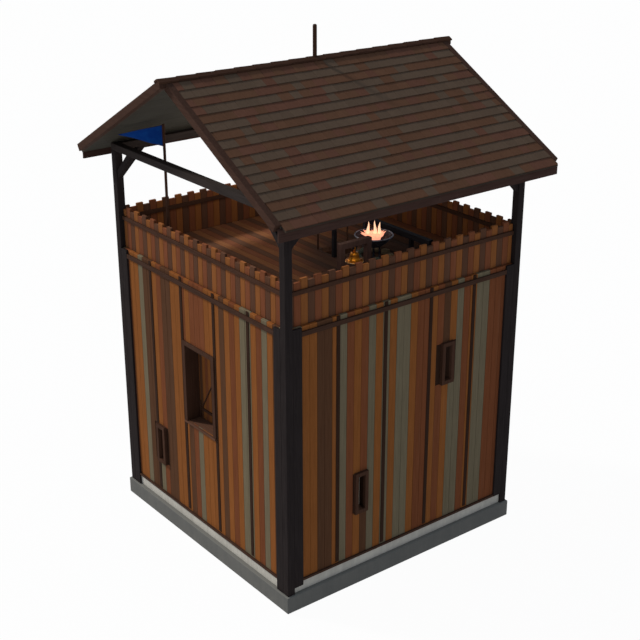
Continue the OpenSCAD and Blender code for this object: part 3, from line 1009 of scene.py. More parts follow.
class Carpenter:
    """Sets out repeated pieces with two geometry node trees."""

    def __init__(self) -> None:
        """Builds the trees and the unit stocks."""
        self.stock_tree = self._stock_tree()
        self.row_tree = self._row_tree()
        cube = bmesh.new()
        add_box(cube, Vector((-0.5, -0.5, -0.5)), Vector((0.5, 0.5, 0.5)))
        self.cube = self._stock("stock_board", cube)
        shard = bmesh.new()
        lathe(shard, [(0.0, 0.0), (0.42, 0.12), (0.5, 0.3), (0.22, 0.72), (0.0, 1.0)],
              Vector(), 5)
        self.shard = self._stock("stock_shard", shard)

    @staticmethod
    def _stock(name: str, shape: BMesh) -> Object:
        """Links a unit stock that only the trees read.

        Args:
            name: Name of the stock.
            shape: Its bmesh, which is freed.

        Returns:
            The stock.
        """
        bmesh.ops.recalc_face_normals(shape, faces=shape.faces)
        mesh = bpy.data.meshes.new(name)
        shape.to_mesh(mesh)
        shape.free()
        return link(name, mesh)

    @staticmethod
    def _stock_tree() -> Tree:
        """Builds the tree that stands a scaled stock on each point.

        Returns:
            The tree.
        """
        tree = Tree("stock on points", {"Stock": "NodeSocketObject"})
        stock = tree.node("GeometryNodeObjectInfo", {"transform_space": "ORIGINAL"},
                          {"Object": tree.input("Stock")}).outputs["Geometry"]
        local = tree.node("GeometryNodeStoreNamedAttribute",
                          {"data_type": "FLOAT_VECTOR", "domain": "POINT"},
                          {"Geometry": stock, "Name": "local",
                           "Value": tree.node("GeometryNodeInputPosition").outputs[0]})
        turn = tree.node("ShaderNodeVectorMath", {"operation": "ADD"},
                         {0: tree.named("turn"), 1: tree.wobble()}).outputs[0]
        stand = tree.node("GeometryNodeInstanceOnPoints", None,
                          {"Points": tree.input("Geometry"), "Instance": local.outputs[0],
                           "Rotation": turn, "Scale": tree.named("size")})
        tree.end(stand.outputs[0])
        return tree

    @staticmethod
    def _row_tree() -> Tree:
        """Builds the tree that repeats its input along a straight row.

        Returns:
            The tree.
        """
        tree = Tree("row", {"Count": "NodeSocketInt", "Start": "NodeSocketVector",
                            "Step": "NodeSocketVector"})
        line = tree.node("GeometryNodeMeshLine", {"mode": "OFFSET"},
                         {"Count": tree.input("Count"), "Start Location": tree.input("Start"),
                          "Offset": tree.input("Step")}).outputs[0]
        stand = tree.node("GeometryNodeInstanceOnPoints", None,
                          {"Points": line, "Instance": tree.input("Geometry"),
                           "Rotation": tree.wobble()})
        tree.end(stand.outputs[0])
        return tree

    def set_out(self, name: str, pieces: list[Piece], finish: Material, seed: int,
                stock: Object | None = None, wobble: float = 0.0,
                arris: float = 0.0) -> Object:
        """Makes one piece of many pieces of one stock.

        Args:
            name: Name of the piece.
            pieces: Place, size, turn and tone of each.
            finish: Their finish.
            seed: Fixed seed of the wobble and the shade.
            stock: Unit stock; a board where it is left out.
            wobble: Largest random turn, in radians.
            arris: Width of the worn arris, 0 for none.

        Returns:
            The piece.
        """
        mesh = bpy.data.meshes.new(name + "_points")
        mesh.from_pydata([p.centre for p in pieces], [], [])
        for label, kind, key in (("size", "FLOAT_VECTOR", "vector"),
                                 ("turn", "FLOAT_VECTOR", "vector"), ("tone", "FLOAT", "value")):
            layer = mesh.attributes.new(label, kind, "POINT")
            for item, entry in zip(layer.data, pieces):
                setattr(item, key, getattr(entry, label))
        made = self.stock_tree.apply(link(name, mesh), {
            "Stock": stock or self.cube, "Wobble": wobble, "Seed": seed, "Finish": finish})
        if arris:
            ease(made, arris)
        return made

    def row(self, unit: Object, finish: Material, count: int,
            start: Vector, step: Vector, seed: int) -> Object:
        """Repeats a unit along a row in its own object.

        Args:
            unit: Object that holds the unit's mesh about the origin.
            finish: Its finish.
            count: How many.
            start: Place of the first.
            step: From one to the next.
            seed: Fixed seed of the shade.

        Returns:
            The same object.
        """
        return self.row_tree.apply(unit, {"Count": count, "Start": start, "Step": step,
                                          "Wobble": 0.0, "Seed": seed, "Finish": finish})

    def clear(self) -> None:
        """Removes the unit stocks once everything is set out."""
        for stock in (self.cube, self.shard):
            bpy.data.objects.remove(stock)


class Dealer:
    """Deals tones of stock from a weighted pile, the same each run."""

    WEIGHTS = ((0.40, Tone.AMBER), (0.62, Tone.RUSSET), (0.78, Tone.UMBER), (1.0, Tone.GREY))

    MULTIPLIER, INCREMENT, MODULUS = 1664525, 1013904223, 2 ** 32

    def __init__(self, seed: int) -> None:
        """Starts the pile at a seed."""
        self.state = seed

    def next(self) -> float:
        """Deals the next board.

        Returns:
            Its tone.
        """
        self.state = (self.state * self.MULTIPLIER + self.INCREMENT) % self.MODULUS
        share = self.state / self.MODULUS
        return next(tone for limit, tone in self.WEIGHTS if share < limit or limit == 1.0).value


# ---- sub-assemblies ----


@dataclass
class Shop:
    """What every sub-assembly shares: the record's openings, the carpenter, the finishes."""

    openings: list[dict[str, Any]]
    carpenter: Carpenter = field(default_factory=Carpenter)
    finishes: dict[str, Material] = field(default_factory=dict)

    def finish(self, recipe: Any) -> Material:
        """Material of a finish, made once."""
        if recipe.name not in self.finishes:
            self.finishes[recipe.name] = recipe.make()
        return self.finishes[recipe.name]

    def timber(self, stain: Stain, way: Way) -> Material:
        """Material of a stain, with its grain along a direction."""
        name, *looks = stain.value
        return self.finish(Timber(name.format(way.name), way, *looks))


@dataclass
class Assembly:
    """A sub-assembly, made with what the shop holds."""

    shop: Shop


@dataclass
class Base(Assembly):
    """Concrete slab and the pale plinth course."""

    slab_arris: float = 0.018
    plinth_arris: float = 0.006

    def build(self) -> list[Object]:
        """Makes the pieces.

        Returns:
            The pieces.
        """
        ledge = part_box("foundation_slab")[1].z
        # The ledge of the slab is painted paler, as light on its top.
        concrete = self.shop.finish(replace(CONCRETE, painted_top_light=(ledge, LEDGE_PAINTED_LIGHT)))
        return [eased("slab", "foundation_slab", concrete, self.slab_arris, "concrete",
                      segments=3),
                eased("plinth", "plinth_course", self.shop.finish(PLINTH), self.plinth_arris,
                      "pale_stone")]


@dataclass
class Frame(Assembly):
    """Posts, beams and braces of charcoal timber."""

    arris: float = 0.009
    fine_arris: float = 0.006

    def build(self) -> list[Object]:
        """Makes the pieces.

        Returns:
            The pieces.
        """
        timbers = [(f"post_timber_{corner}", f"post_{corner}", Stain.POST, Way.Z, self.arris)
                   for corner in ("front_left", "front_right", "back_left", "back_right")]
        timbers += [("stud_timbers", "corner_studs", Stain.POST, Way.Z, self.fine_arris),
                    # Tie beams and plates take the lighter charcoal stain, which paints light on
                    # them.
                    ("tie_timbers", "tie_beams", Stain.BEAM, Way.X, self.arris),
                    ("plate_timbers", "eave_plates", Stain.BEAM, Way.Y, self.arris),
                    ("brace_timbers", "knee_braces", Stain.POST, Way.Z, self.fine_arris)]
        return [eased(name, node, self.shop.timber(stain, way), arris, "dark_post")
                for name, node, stain, way, arris in timbers]


@dataclass
class Walls(Assembly):
    """Upright wall boards, cover battens, base rails and girts.

    Each bay between two battens is dealt from a pile of its own, whose seed is in seeds.
    Boards tuck under the frames and lie a little sunk in the panel behind them.
    """

    pitch: float = 0.18625
    shift: float = 0.064
    thick: float = 0.012
    gap: float = 0.004
    narrowest: float = 0.01
    bays: int = 5
    post: float = 0.175
    slit_bar: float = 0.089
    tuck: float = 0.010
    sunk: float = 0.002
    ledge: float = 0.024
    base: float = 0.050
    girt: float = 0.098
    lap: float = 0.045
    arris: float = 0.004
    board_arris: float = 0.003
    wobble: float = 0.0006
    shade_seed: int = 11
    seeds: dict[Side, tuple[int, ...]] = field(default_factory=lambda: {
        Side.FRONT: (9362, 63669, 20361175, 20313, 146),
        Side.RIGHT: (392, 6850, 17108, 495637, 9180),
        Side.BACK: (71, 2204, 918, 4410, 36),
        Side.LEFT: (515, 88, 60, 1207, 333)})

    def holes(self, side: Side) -> list[tuple[float, float, float, float]]:
        """Outlines of window and slit frames on a face.

        Args:
            side: The face.

        Returns:
            Left, right, foot and top of each, in the face's own measures.
        """
        found = []
        for opening in self.shop.openings:
            if opening["name"].startswith(f"slit_{side.name.lower()}"):
                low, high = (Vector(corner) for corner in opening["box_m"])
                ends = sorted((Matrix.Rotation(-side.turn, 3, "Z") @ c).x for c in (low, high))
                found.append((ends[0] - self.slit_bar, ends[1] + self.slit_bar,
                              low.z - self.slit_bar, high.z + self.slit_bar))
        if side is Side.FRONT:
            low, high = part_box("window_frame")
            found.append((low.x, high.x, low.z, high.z))
        return found

    def boards(self, side: Side) -> list[Piece]:
        """Boards of one face, split where a frame interrupts them, and the ledge over each.

        Args:
            side: The face.

        Returns:
            The boards.
        """
        low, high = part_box("wall_front")
        face, reach, foot, top = -low.y, high.x, low.z, high.z
        inner = -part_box("parapet_front")[0].y + self.sunk
        holes = self.holes(side)
        dealers = [Dealer(seed) for seed in self.seeds[side]]
        bay = (2 * reach + self.post) / self.bays
        cuts = [(i - self.bays / 2 + 1) * bay for i in range(self.bays - 1)]
        most = math.ceil(reach / self.pitch) + 1
        made = []
        for i in range(-most, most):
            start = max(-reach, self.shift + i * self.pitch)
            end = min(reach, self.shift + (i + 1) * self.pitch)
            if end - start < self.narrowest:
                continue
            middle = (start + end) / 2
            dealer = dealers[sum(middle > cut for cut in cuts)]
            spans = [(foot, top)]
            for left, right, lower, upper in holes:
                if left < end - self.gap and right > start + self.gap:
                    spans = [(foot, lower + self.tuck), (upper - self.tuck, top)]
            for lower, upper in spans:
                tone = dealer.next()
                made.append(Piece(
                    side.place(middle, face + self.thick / 2 - self.sunk, (lower + upper) / 2),
                    Vector((end - start - self.gap, self.thick, upper - lower)),
                    (0, 0, side.turn), tone))
            made.append(Piece(side.place(middle, (face + inner) / 2, top - self.tuck),
                              Vector((end - start - self.gap, face - inner, self.ledge)),
                              (0, 0, side.turn), tone))
        return made

    def build(self) -> list[Object]:
        """Makes the pieces.

        Returns:
            The pieces.
        """
        made = []
        for side in Side:
            faces = self.shop.carpenter.set_out(
                f"wall_boards_{side.name.lower()}", self.boards(side),
                self.shop.finish(WALL_BOARDS), self.shade_seed + side.value,
                wobble=self.wobble, arris=self.board_arris)
            made.append(dress(faces, "wall_boards"))
        made.append(eased("batten_strips", "wall_battens",
                          self.shop.timber(Stain.BATTEN, Way.Z), self.arris, "brown_trim"))
        across = self.rails(Way.X, (Side.FRONT, Side.BACK))
        deep = self.rails(Way.Y, (Side.RIGHT, Side.LEFT))
        return [*made, dress(across, "brown_trim"), dress(deep, "brown_trim", "wall_rails")]

    def rails(self, way: Way, sides: tuple[Side, Side]) -> Object:
        """Base rails and girts of two opposite faces.

        Args:
            way: Direction that they run in.
            sides: The faces.

        Returns:
            The piece.
        """
        low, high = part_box("wall_rails")
        wall_low, wall_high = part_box("wall_front")
        head = high.z - self.lap
        shape = bmesh.new()
        for side in sides:
            for lower, upper in ((low.z, low.z + self.base), (head - self.girt, head)):
                ends = [side.place(-wall_high.x, -wall_low.y - self.gap, lower),
                        side.place(wall_high.x, high.x, upper)]
                add_box(shape, Vector(map(min, *ends)), Vector(map(max, *ends)))
        strips = from_bmesh(f"rail_strips_{way.name.lower()}", shape,
                            self.shop.timber(Stain.GIRT, way))
        ease(strips, self.arris)
        return strips


@dataclass
class Openings(Assembly):
    """Window with its sill and boarded leaf, and the framed slits."""

    arris: float = 0.005
    leaf_arris: float = 0.003
    leaf_board: float = 0.115
    leaf_gap: float = 0.003
    ledge_inset: float = 0.150
    lower_ledge: float = 0.225
    upper_ledge: float = 0.260
    half_ledge: float = 0.03
    brace: float = 0.034
    brace_sunk: float = 0.004
    cleat_reach: float = 0.05
    cleat_rise: float = 0.17
    shade_seed: int = 5

    def leaf(self) -> list[Object]:
        """Boarded leaf with ledges, brace and cleat.

        Returns:
            The pieces.
        """
        low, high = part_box("window_shutter")
        frame_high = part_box("window_frame")[1]
        front = frame_high.y
        count = round((high.x - low.x) / self.leaf_board)
        step = (high.x - low.x) / count
        tones = (Tone.AMBER, Tone.UMBER, Tone.AMBER, Tone.RUSSET)
        boards = [Piece(Vector((low.x + (i + 0.5) * step, (front + high.y) / 2,
                                (low.z + high.z) / 2)),
                        Vector((step - self.leaf_gap, high.y - front, high.z - low.z)),
                        tone=tones[i % len(tones)].value) for i in range(count)]
        leaf = self.shop.carpenter.set_out("leaf_boards", boards,
                                           self.shop.finish(WALL_BOARDS), self.shade_seed,
                                           arris=self.leaf_arris)
        reach = high.x - self.ledge_inset
        foot, head = low.z + self.lower_ledge, frame_high.z - self.upper_ledge
        shape = bmesh.new()
        for level in (foot, head):
            add_box(shape, Vector((-reach, low.y, level - self.half_ledge)),
                    Vector((reach, front, level + self.half_ledge)))
        corners = [(-reach, foot), (-reach + self.brace, foot), (reach, head),
                   (reach - self.brace, head)]
        near = [shape.verts.new((x, low.y + self.brace_sunk, z)) for x, z in corners]
        far = [shape.verts.new((x, front, z)) for x, z in corners]
        shape.faces.new(near)
        shape.faces.new(far[::-1])
        for i in range(4):
            shape.faces.new([near[i], far[i], far[(i + 1) % 4], near[(i + 1) % 4]])
        add_box(shape, Vector((-reach - self.cleat_reach, low.y, low.z)),
                Vector((-reach, front, foot + self.cleat_rise)))
        ledges = from_bmesh("leaf_ledges", shape, self.shop.timber(Stain.TRIM, Way.X))
        ease(ledges, self.leaf_arris)
        return [dress(leaf, "wall_boards", "window_shutter"), dress(ledges, "brown_trim")]

    def build(self) -> list[Object]:
        """Makes the pieces.

        Returns:
            The pieces.
        """
        made = [eased(name, node, self.shop.timber(stain, way), self.arris, slot)
                for name, node, stain, way, slot in (
                    ("window_casing", "window_frame", Stain.TRIM, Way.Z, "brown_trim"),
                    ("window_board", "window_sill", Stain.SILL, Way.X, "sill_board"),
                    ("slit_casings", "slit_frames", Stain.TRIM, Way.Z, "brown_trim"))]
        return [*made, *self.leaf()]


@dataclass
class Lookout(Assembly):
    """Deck planks, parapet boards with their rails, hatch guard and ladder stiles.

    The heads of the parapet boards end head_drop under the top of their box, and every
    second one head_step lower still.
    """

    plank: float = 0.18625
    plank_end: float = 0.002
    hatch_gap: float = 0.01
    board: float = 0.1685
    head_step: float = 0.062
    head_drop: float = 0.050
    rail_drop: float = 0.035
    gap: float = 0.005
    # Reach of the dark patch on the deck: soot and painted shade.
    soot_and_shade_reach: float = 1.7
    plank_arris: float = 0.005
    board_arris: float = 0.006
    rail_arris: float = 0.005
    guard_arris: float = 0.006
    stile_arris: float = 0.004
    wobble: float = 0.0012
    plank_seed: int = 21
    board_seed: int = 31

    def planks(self) -> list[Piece]:
        """Deck planks along X, cut round the hatch.

        Returns:
            The planks.
        """
        low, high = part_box("deck")
        hatch = next(o for o in self.shop.openings if o["name"] == "deck_hatch")["box_m"]
        left, front = (c - self.hatch_gap for c in hatch[0][:2])
        right, back = (c + self.hatch_gap for c in hatch[1][:2])
        cycle = (Tone.AMBER, Tone.RUSSET, Tone.UMBER)
        made = []
        for i in range(round((high.y - low.y) / self.plank)):
            start, end = low.y + i * self.plank, low.y + (i + 1) * self.plank
            marks = sorted({start, end, *(m for m in (front, back) if start < m < end)})
            for lower, upper in zip(marks, marks[1:]):
                cut = lower >= front - WELD and upper <= back + WELD
                for first, last in ([(low.x, left), (right, high.x)] if cut
                                    else [(low.x, high.x)]):
                    made.append(Piece(Vector(((first + last) / 2, (lower + upper) / 2,
                                              (low.z + high.z) / 2)),
                                      Vector((last - first - self.plank_end,
                                              upper - lower - self.gap, high.z - low.z)),
                                      tone=cycle[i % 3].value))
        return made

    def parapet(self, side: Side) -> list[Piece]:
        """Boards of one parapet, tall and short in turn.

        The back and the left count their boards from the other end.

        Args:
            side: The face.

        Returns:
            The boards.
        """
        low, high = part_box("parapet_front")
        face, inner = -low.y, -high.y
        reach, foot, top = high.x, low.z, high.z
        gable = side in (Side.FRONT, Side.BACK)
        reverse = side in (Side.BACK, Side.LEFT)
        cycle = (Tone.AMBER, Tone.RUSSET, Tone.UMBER) if gable else (
            Tone.UMBER, Tone.RUSSET, Tone.AMBER)
        count = 2 * math.ceil(reach / self.board)
        made = []
        for i in range(count):
            start = max(-reach, (i - count / 2) * self.board)
            end = min(reach, (i + 1 - count / 2) * self.board)
            turn = count - 1 - i if reverse else i
            short = (turn + gable) % 2 == 1
            head = top - self.head_drop - (self.head_step if short else 0.0)
            made.append(Piece(side.place((start + end) / 2, (face + inner) / 2,
                                         (foot + head) / 2),
                              Vector((end - start - self.gap, face - inner, head - foot)),
                              (0, 0, side.turn), cycle[turn % 3].value))
        return made

    def build(self) -> list[Object]:
        """Makes the pieces.

        Returns:
            The pieces.
        """
        fire = box_foot("brazier_bowl")
        # The dark patch round the fire is partly soot, partly painted shade under the roof.
        boards = replace(DECK_PLANKS, ash=(fire.x, fire.y, self.soot_and_shade_reach))
        deck = self.shop.carpenter.set_out("deck_boards", self.planks(),
                                           self.shop.finish(boards), self.plank_seed,
                                           arris=self.plank_arris)
        made = [dress(deck, "deck_planks", "deck")]
        for side in Side:
            name = side.name.lower()
            parapet = self.shop.carpenter.set_out(
                f"parapet_boards_{name}", self.parapet(side),
                self.shop.finish(PARAPET_BOARDS), self.board_seed + side.value,
                wobble=self.wobble, arris=self.board_arris)
            made.append(dress(parapet, "parapet_boards", f"parapet_{name}"))
        for name in ("outer", "inner"):
            rails = eased(f"{name}_rail_strips", f"parapet_{name}_rails",
                          self.shop.timber(Stain.TRIM, Way.X), self.rail_arris,
                          "brown_trim")
            rails.data.transform(Matrix.Translation((0.0, 0.0, -self.rail_drop)))
            made.append(rails)
        return [*made,
                eased("guard_timbers", "hatch_guard", self.shop.timber(Stain.TAR, Way.Z),
                      self.guard_arris, "black_timber"),
                eased("stile_poles", "ladder_stiles", self.shop.timber(Stain.TRIM, Way.Z),
                      self.stile_arris, "sill_board")]


@dataclass(frozen=True)
class Slope:
    """One slope of the roof: side of the ridge, name, reach of the eave, half its length."""

    sign: int
    name: str
    reach: float
    half: float


@dataclass
class Roof(Assembly):
    """Gable roof: sarking boards, shingle courses, ridge tiles, barge boards and finial.

    Run is the width of a course seen from above, step the rise of its butt over the next.
    The shingles of each slope are dealt from a seed, found by the slope's side.
    """

    pitch: float = 29.2
    courses: int = 17
    run: float = 0.212
    step: float = 0.018
    thick: float = 0.168
    fascia: float = 0.045
    shingle: float = 0.27
    butt: float = 0.024
    joint: float = 0.002
    headlap: float = 0.06
    narrowest: float = 0.03
    odd_share: float = 0.12
    russet_share: float = 0.3
    sarking_boards: int = 18
    lip: float = 0.070
    lip_back: float = 0.006
    rise: float = 0.012
    ridge_tiles: int = 17
    tile_thick: float = 0.045
    tile_lap: float = 0.02
    tile_drop: float = 0.012
    tile_crown: float = 0.10
    tile_round: float = 0.007
    finial_swell: float = 0.009
    trim_arris: float = 0.006
    tile_arris: float = 0.004
    shingle_arris: float = 0.003
    finial_arris: float = 0.002
    wobble: float = 0.0015
    sarking_seed: int = 41
    shingle_seed: int = 43
    ridge_seed: int = 3
    deal_seeds: dict[int, int] = field(default_factory=lambda: {1: 7, -1: 107})
    slope: float = field(init=False)
    apex: float = field(init=False)
    edge: float = field(init=False)

    def __post_init__(self) -> None:
        """Reads the lines of the roof from the frame."""
        self.slope = math.tan(math.radians(self.pitch))
        self.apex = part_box("barge_boards")[1].z - self.rise
        self.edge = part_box("eave_fascias")[1].x - self.fascia

    def build(self) -> list[Object]:
        """Makes the pieces.

        Returns:
            The pieces.
        """
        made = []
        for sign, name in ((1, "right"), (-1, "left")):
            low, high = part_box(f"roof_slope_{name}")
            slope = Slope(sign, name, high.x if sign > 0 else -low.x, high.y)
            made += [self.sarking(slope), self.covering(slope)]
        made.append(self.ridge())
        for name, node, stain, way in (
                ("barge_timbers", "barge_boards", Stain.BARGE, Way.X),
                ("fascia_timbers", "eave_fascias", Stain.FASCIA, Way.Y)):
            made.append(eased(name, node, self.shop.timber(stain, way), self.trim_arris,
                              "brown_trim"))
        return [*made, self.finial()]

    def top(self, x: float) -> float:
        """Level of the line of the roof over a point x metres from the ridge."""
        return self.apex - x * self.slope

    def sarking(self, side: Slope) -> Object:
        """Sarking and eave board of one slope.

        Args:
            side: The slope.

        Returns:
            The piece.
        """
        angle = math.atan(self.slope)
        cover = self.butt / math.cos(angle)
        span = self.edge / self.sarking_boards
        body = self.thick - cover
        boards = []
        for i in range(self.sarking_boards):
            x = (i + 0.5) * span
            boards.append(Piece(Vector((side.sign * x, 0, self.top(x) - cover - body / 2)),
                                Vector((span / math.cos(angle) - self.joint, 2 * side.half,
                                        body * math.cos(angle))),
                                (0, side.sign * angle, 0), Tone.GREY.value))
        lip = self.lip - cover
        x = (self.edge + side.reach - self.lip_back) / 2
        level = self.top(x) + self.step - cover - lip / 2
        wide = (side.reach - 2 * self.lip_back - self.edge) / math.cos(angle)
        boards.append(Piece(Vector((side.sign * x, 0, level)),
                            Vector((wide, 2 * side.half, lip * math.cos(angle) - self.joint)),
                            (0, side.sign * angle, 0), Tone.UMBER.value))
        sarking = self.shop.carpenter.set_out(f"sarking_{side.name}", boards,
                                              self.shop.finish(SARKING), self.sarking_seed)
        return dress(sarking, "shingles")

    def covering(self, side: Slope) -> Object:
        """Shingle courses of one slope, brown and grey by turns with a few odd ones.

        Args:
            side: The slope.

        Returns:
            The piece.
        """
        chance = random.Random(self.deal_seeds[side.sign])
        half = side.half
        shingles = []
        for course in range(self.courses):
            start = side.reach - (self.courses - course) * self.run if course else 0.0
            end = side.reach - (self.courses - course - 1) * self.run
            pitch = math.atan(((end - start) * self.slope - self.step) / (end - start))
            length = (end - start) / math.cos(pitch) + (self.headlap if course else -0.01)
            foot = Vector((end, 0, self.top(end) + self.step))
            along = Vector((-math.cos(pitch), 0, math.sin(pitch)))
            out = Vector((math.sin(pitch), 0, math.cos(pitch)))
            place = -half - chance.random() * self.shingle
            while place < half:
                width = self.shingle * (0.82 + 0.36 * chance.random())
                left, right = max(-half, place), min(half, place + width)
                place += width
                if right - left < self.narrowest:
                    continue
                odd = chance.random() < self.odd_share
                brown = (course % 2 == 0) != odd
                tone = Tone.GREY if not brown else (
                    Tone.RUSSET if chance.random() < self.russet_share else Tone.AMBER)
                drop = 0.002 + 0.003 * chance.random()
                centre = foot + along * (length / 2) - out * (drop + self.butt / 2)
                shingles.append(Piece(
                    Vector((side.sign * centre.x, (left + right) / 2, centre.z)),
                    Vector((length, right - left - self.joint, self.butt)),
                    (0, side.sign * pitch, 0), tone.value))
        tiles = self.shop.carpenter.set_out(
            f"shingles_{side.name}", shingles, self.shop.finish(SHINGLES),
            self.shingle_seed + side.sign, wobble=self.wobble, arris=self.shingle_arris)
        return dress(tiles, "shingles", f"roof_slope_{side.name}")

    def ridge(self) -> Object:
        """Ridge of lapped tiles, each a folded section.

        Returns:
            The piece.
        """
        low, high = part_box("ridge_cap")
        step = (high.y - low.y) / self.ridge_tiles
        wide, fall = high.x, high.x * self.slope
        crown = high.z - self.tile_thick
        flat = wide * self.tile_crown
        shape = bmesh.new()
        ends = []
        for place, drop in ((-step / 2, 0.0), (step / 2 + self.tile_lap, self.tile_drop)):
            ridge = high.z - drop - self.tile_round
            shoulder = crown + self.tile_thick - drop - fall - self.joint
            ring = [(-wide, crown - fall), (-wide, shoulder), (-flat, ridge), (flat, ridge),
                    (wide, shoulder), (wide, crown - fall), (0.0, crown)]
            ends.append([shape.verts.new((x, place, z)) for x, z in ring])
        shape.faces.new(ends[0][::-1])
        shape.faces.new(ends[1])
        for i in range(7):
            j = (i + 1) % 7
            shape.faces.new([ends[0][i], ends[0][j], ends[1][j], ends[1][i]])
        tiles = self.shop.carpenter.row(
            from_bmesh("ridge_tiles", shape, None), self.shop.timber(Stain.TRIM, Way.Y),
            self.ridge_tiles, Vector((0, low.y + step / 2, 0)), Vector((0, step, 0)),
            self.ridge_seed)
        for vertex in tiles.data.vertices:
            vertex.co.y = min(high.y, vertex.co.y)
        ease(tiles, self.tile_arris)
        return dress(tiles, "shingles", "ridge_cap")

    def finial(self) -> Object:
        """Turned finial post on the ridge.

        Returns:
            The piece.
        """
        low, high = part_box("roof_finial")
        r, top = high.x + self.finial_swell, high.z
        profile = [(0.0, low.z), (r, low.z), (r, top - 0.03), (r * 0.82, top - 0.008),
                   (r * 0.6, top), (0.0, top)]
        post = turned("finial_post", profile, Vector(), self.shop.timber(Stain.TRIM, Way.Z),
                      24, smooth=False)
        ease(post, self.finial_arris)
        return dress(post, "brown_trim", "roof_finial")


@dataclass
class Pennant(Assembly):
    """Triangular pennant of bunting on its pole, lifted a little at its tip."""

    hoist: float = 0.45
    length: float = 0.92
    along: int = 44
    across: int = 22
    thick: float = 0.003
    raised: float = 0.010
    lift: float = 0.035
    ripple: float = 0.030
    ripple_turns: float = 8.6
    ripple_slant: float = 1.3
    ripple_fade: float = 0.25
    pole_bite: float = 0.96
    held: float = 0.012
    frames: int = 16
    weight: float = 0.006

    def build(self) -> list[Object]:
        """Makes the pieces.

        Returns:
            The pieces.
        """
        low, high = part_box("pennant_pole")
        centre, r = (low + high) / 2, (high.x - low.x) / 2
        foot = Vector((centre.x, centre.y, 0))
        profile = [(0.0, low.z), (r, low.z), (r, high.z - 0.02), (r * 0.8, high.z - 0.004),
                   (0.0, high.z)]
        pole = turned("pennant_mast", profile, foot, self.shop.timber(Stain.TRIM, Way.Z), 28,
                      smooth=False)
        dress(pole, "brown_trim", "pennant_pole")
        flag = self.cloth(foot, r)
        return [pole, flag]

    def cloth(self, pole: Vector, radius: float) -> Object:
        """Makes the cloth, lets it settle from a light ripple and gives it thickness.

        Args:
            pole: Foot of the axis of the pole.
            radius: Its radius.

        Returns:
            The cloth.
        """
        low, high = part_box("pennant")
        far = Vector((low.x if abs(low.x - pole.x) > abs(high.x - pole.x) else high.x,
                      low.y if abs(low.y - pole.y) > abs(high.y - pole.y) else high.y, 0))
        lead = (far - pole).normalized()
        beside = Vector((-lead.y, lead.x, 0))
        middle = (low.z + high.z) / 2 + self.raised
        slant = math.atan2(self.hoist / 2, self.length)
        shape = bmesh.new()
        flat = shape.verts.layers.float_vector.new("flat")
        columns = []
        for i in range(self.along + 1):
            u = i / self.along
            tall = self.hoist * (1 - u)
            rows = 1 if i == self.along else self.across + 1
            column = []
            for j in range(rows):
                v = 0.0 if rows == 1 else j / self.across - 0.5
                swing = math.sin(u * self.ripple_turns + v * self.ripple_slant)
                wave = self.ripple * u * swing * (1 - self.ripple_fade * u)
                vertex = shape.verts.new(
                    pole + lead * (radius * self.pole_bite + u * self.length) + beside * wave
                    + Vector((0, 0, middle + v * tall + u * self.lift)))
                hem = (tall / 2 - abs(v) * tall) * math.cos(slant)
                vertex[flat] = (u * self.length, v * tall, min(hem, u * self.length))
                column.append(vertex)
            columns.append(column)
        for left, right in zip(columns, columns[1:]):
            for j in range(len(left) - 1):
                k = min(j, len(right) - 1)
                m = min(j + 1, len(right) - 1)
                ring = list(dict.fromkeys([left[j], right[k], right[m], left[j + 1]]))
                shape.faces.new(ring)
        flag = from_bmesh("pennant_cloth", shape, self.shop.finish(BUNTING), smooth=True)
        self.settle(flag)
        solid = flag.modifiers.new("thick", "SOLIDIFY")
        solid.thickness = self.thick
        solid.offset = 0.0
        return dress(flag, "pennant_cloth", "pennant")

    def settle(self, flag: Object) -> None:
        """Runs the cloth simulation and keeps its shape.

        Args:
            flag: The cloth, which holds its rest shape.
        """
        hold = flag.vertex_groups.new(name="hoist")
        layer = flag.data.attributes["flat"]
        hold.add([i for i, item in enumerate(layer.data) if item.vector[0] < self.held], 1.0,
                 "ADD")
        cloth = flag.modifiers.new("cloth", "CLOTH")
        for name, value in (("quality", 8), ("mass", 0.2), ("tension_stiffness", 40),
                            ("compression_stiffness", 40), ("shear_stiffness", 20),
                            ("bending_stiffness", 6), ("vertex_group_mass", "hoist")):
            setattr(cloth.settings, name, value)
        cloth.settings.effector_weights.gravity = self.weight
        cloth.point_cache.frame_start, cloth.point_cache.frame_end = 1, self.frames
        scene = bpy.context.scene
        for frame in range(1, self.frames + 1):
            scene.frame_set(frame)
        bake(flag, cloth)
        for face in flag.data.polygons:
            face.use_smooth = True
        scene.frame_set(1)


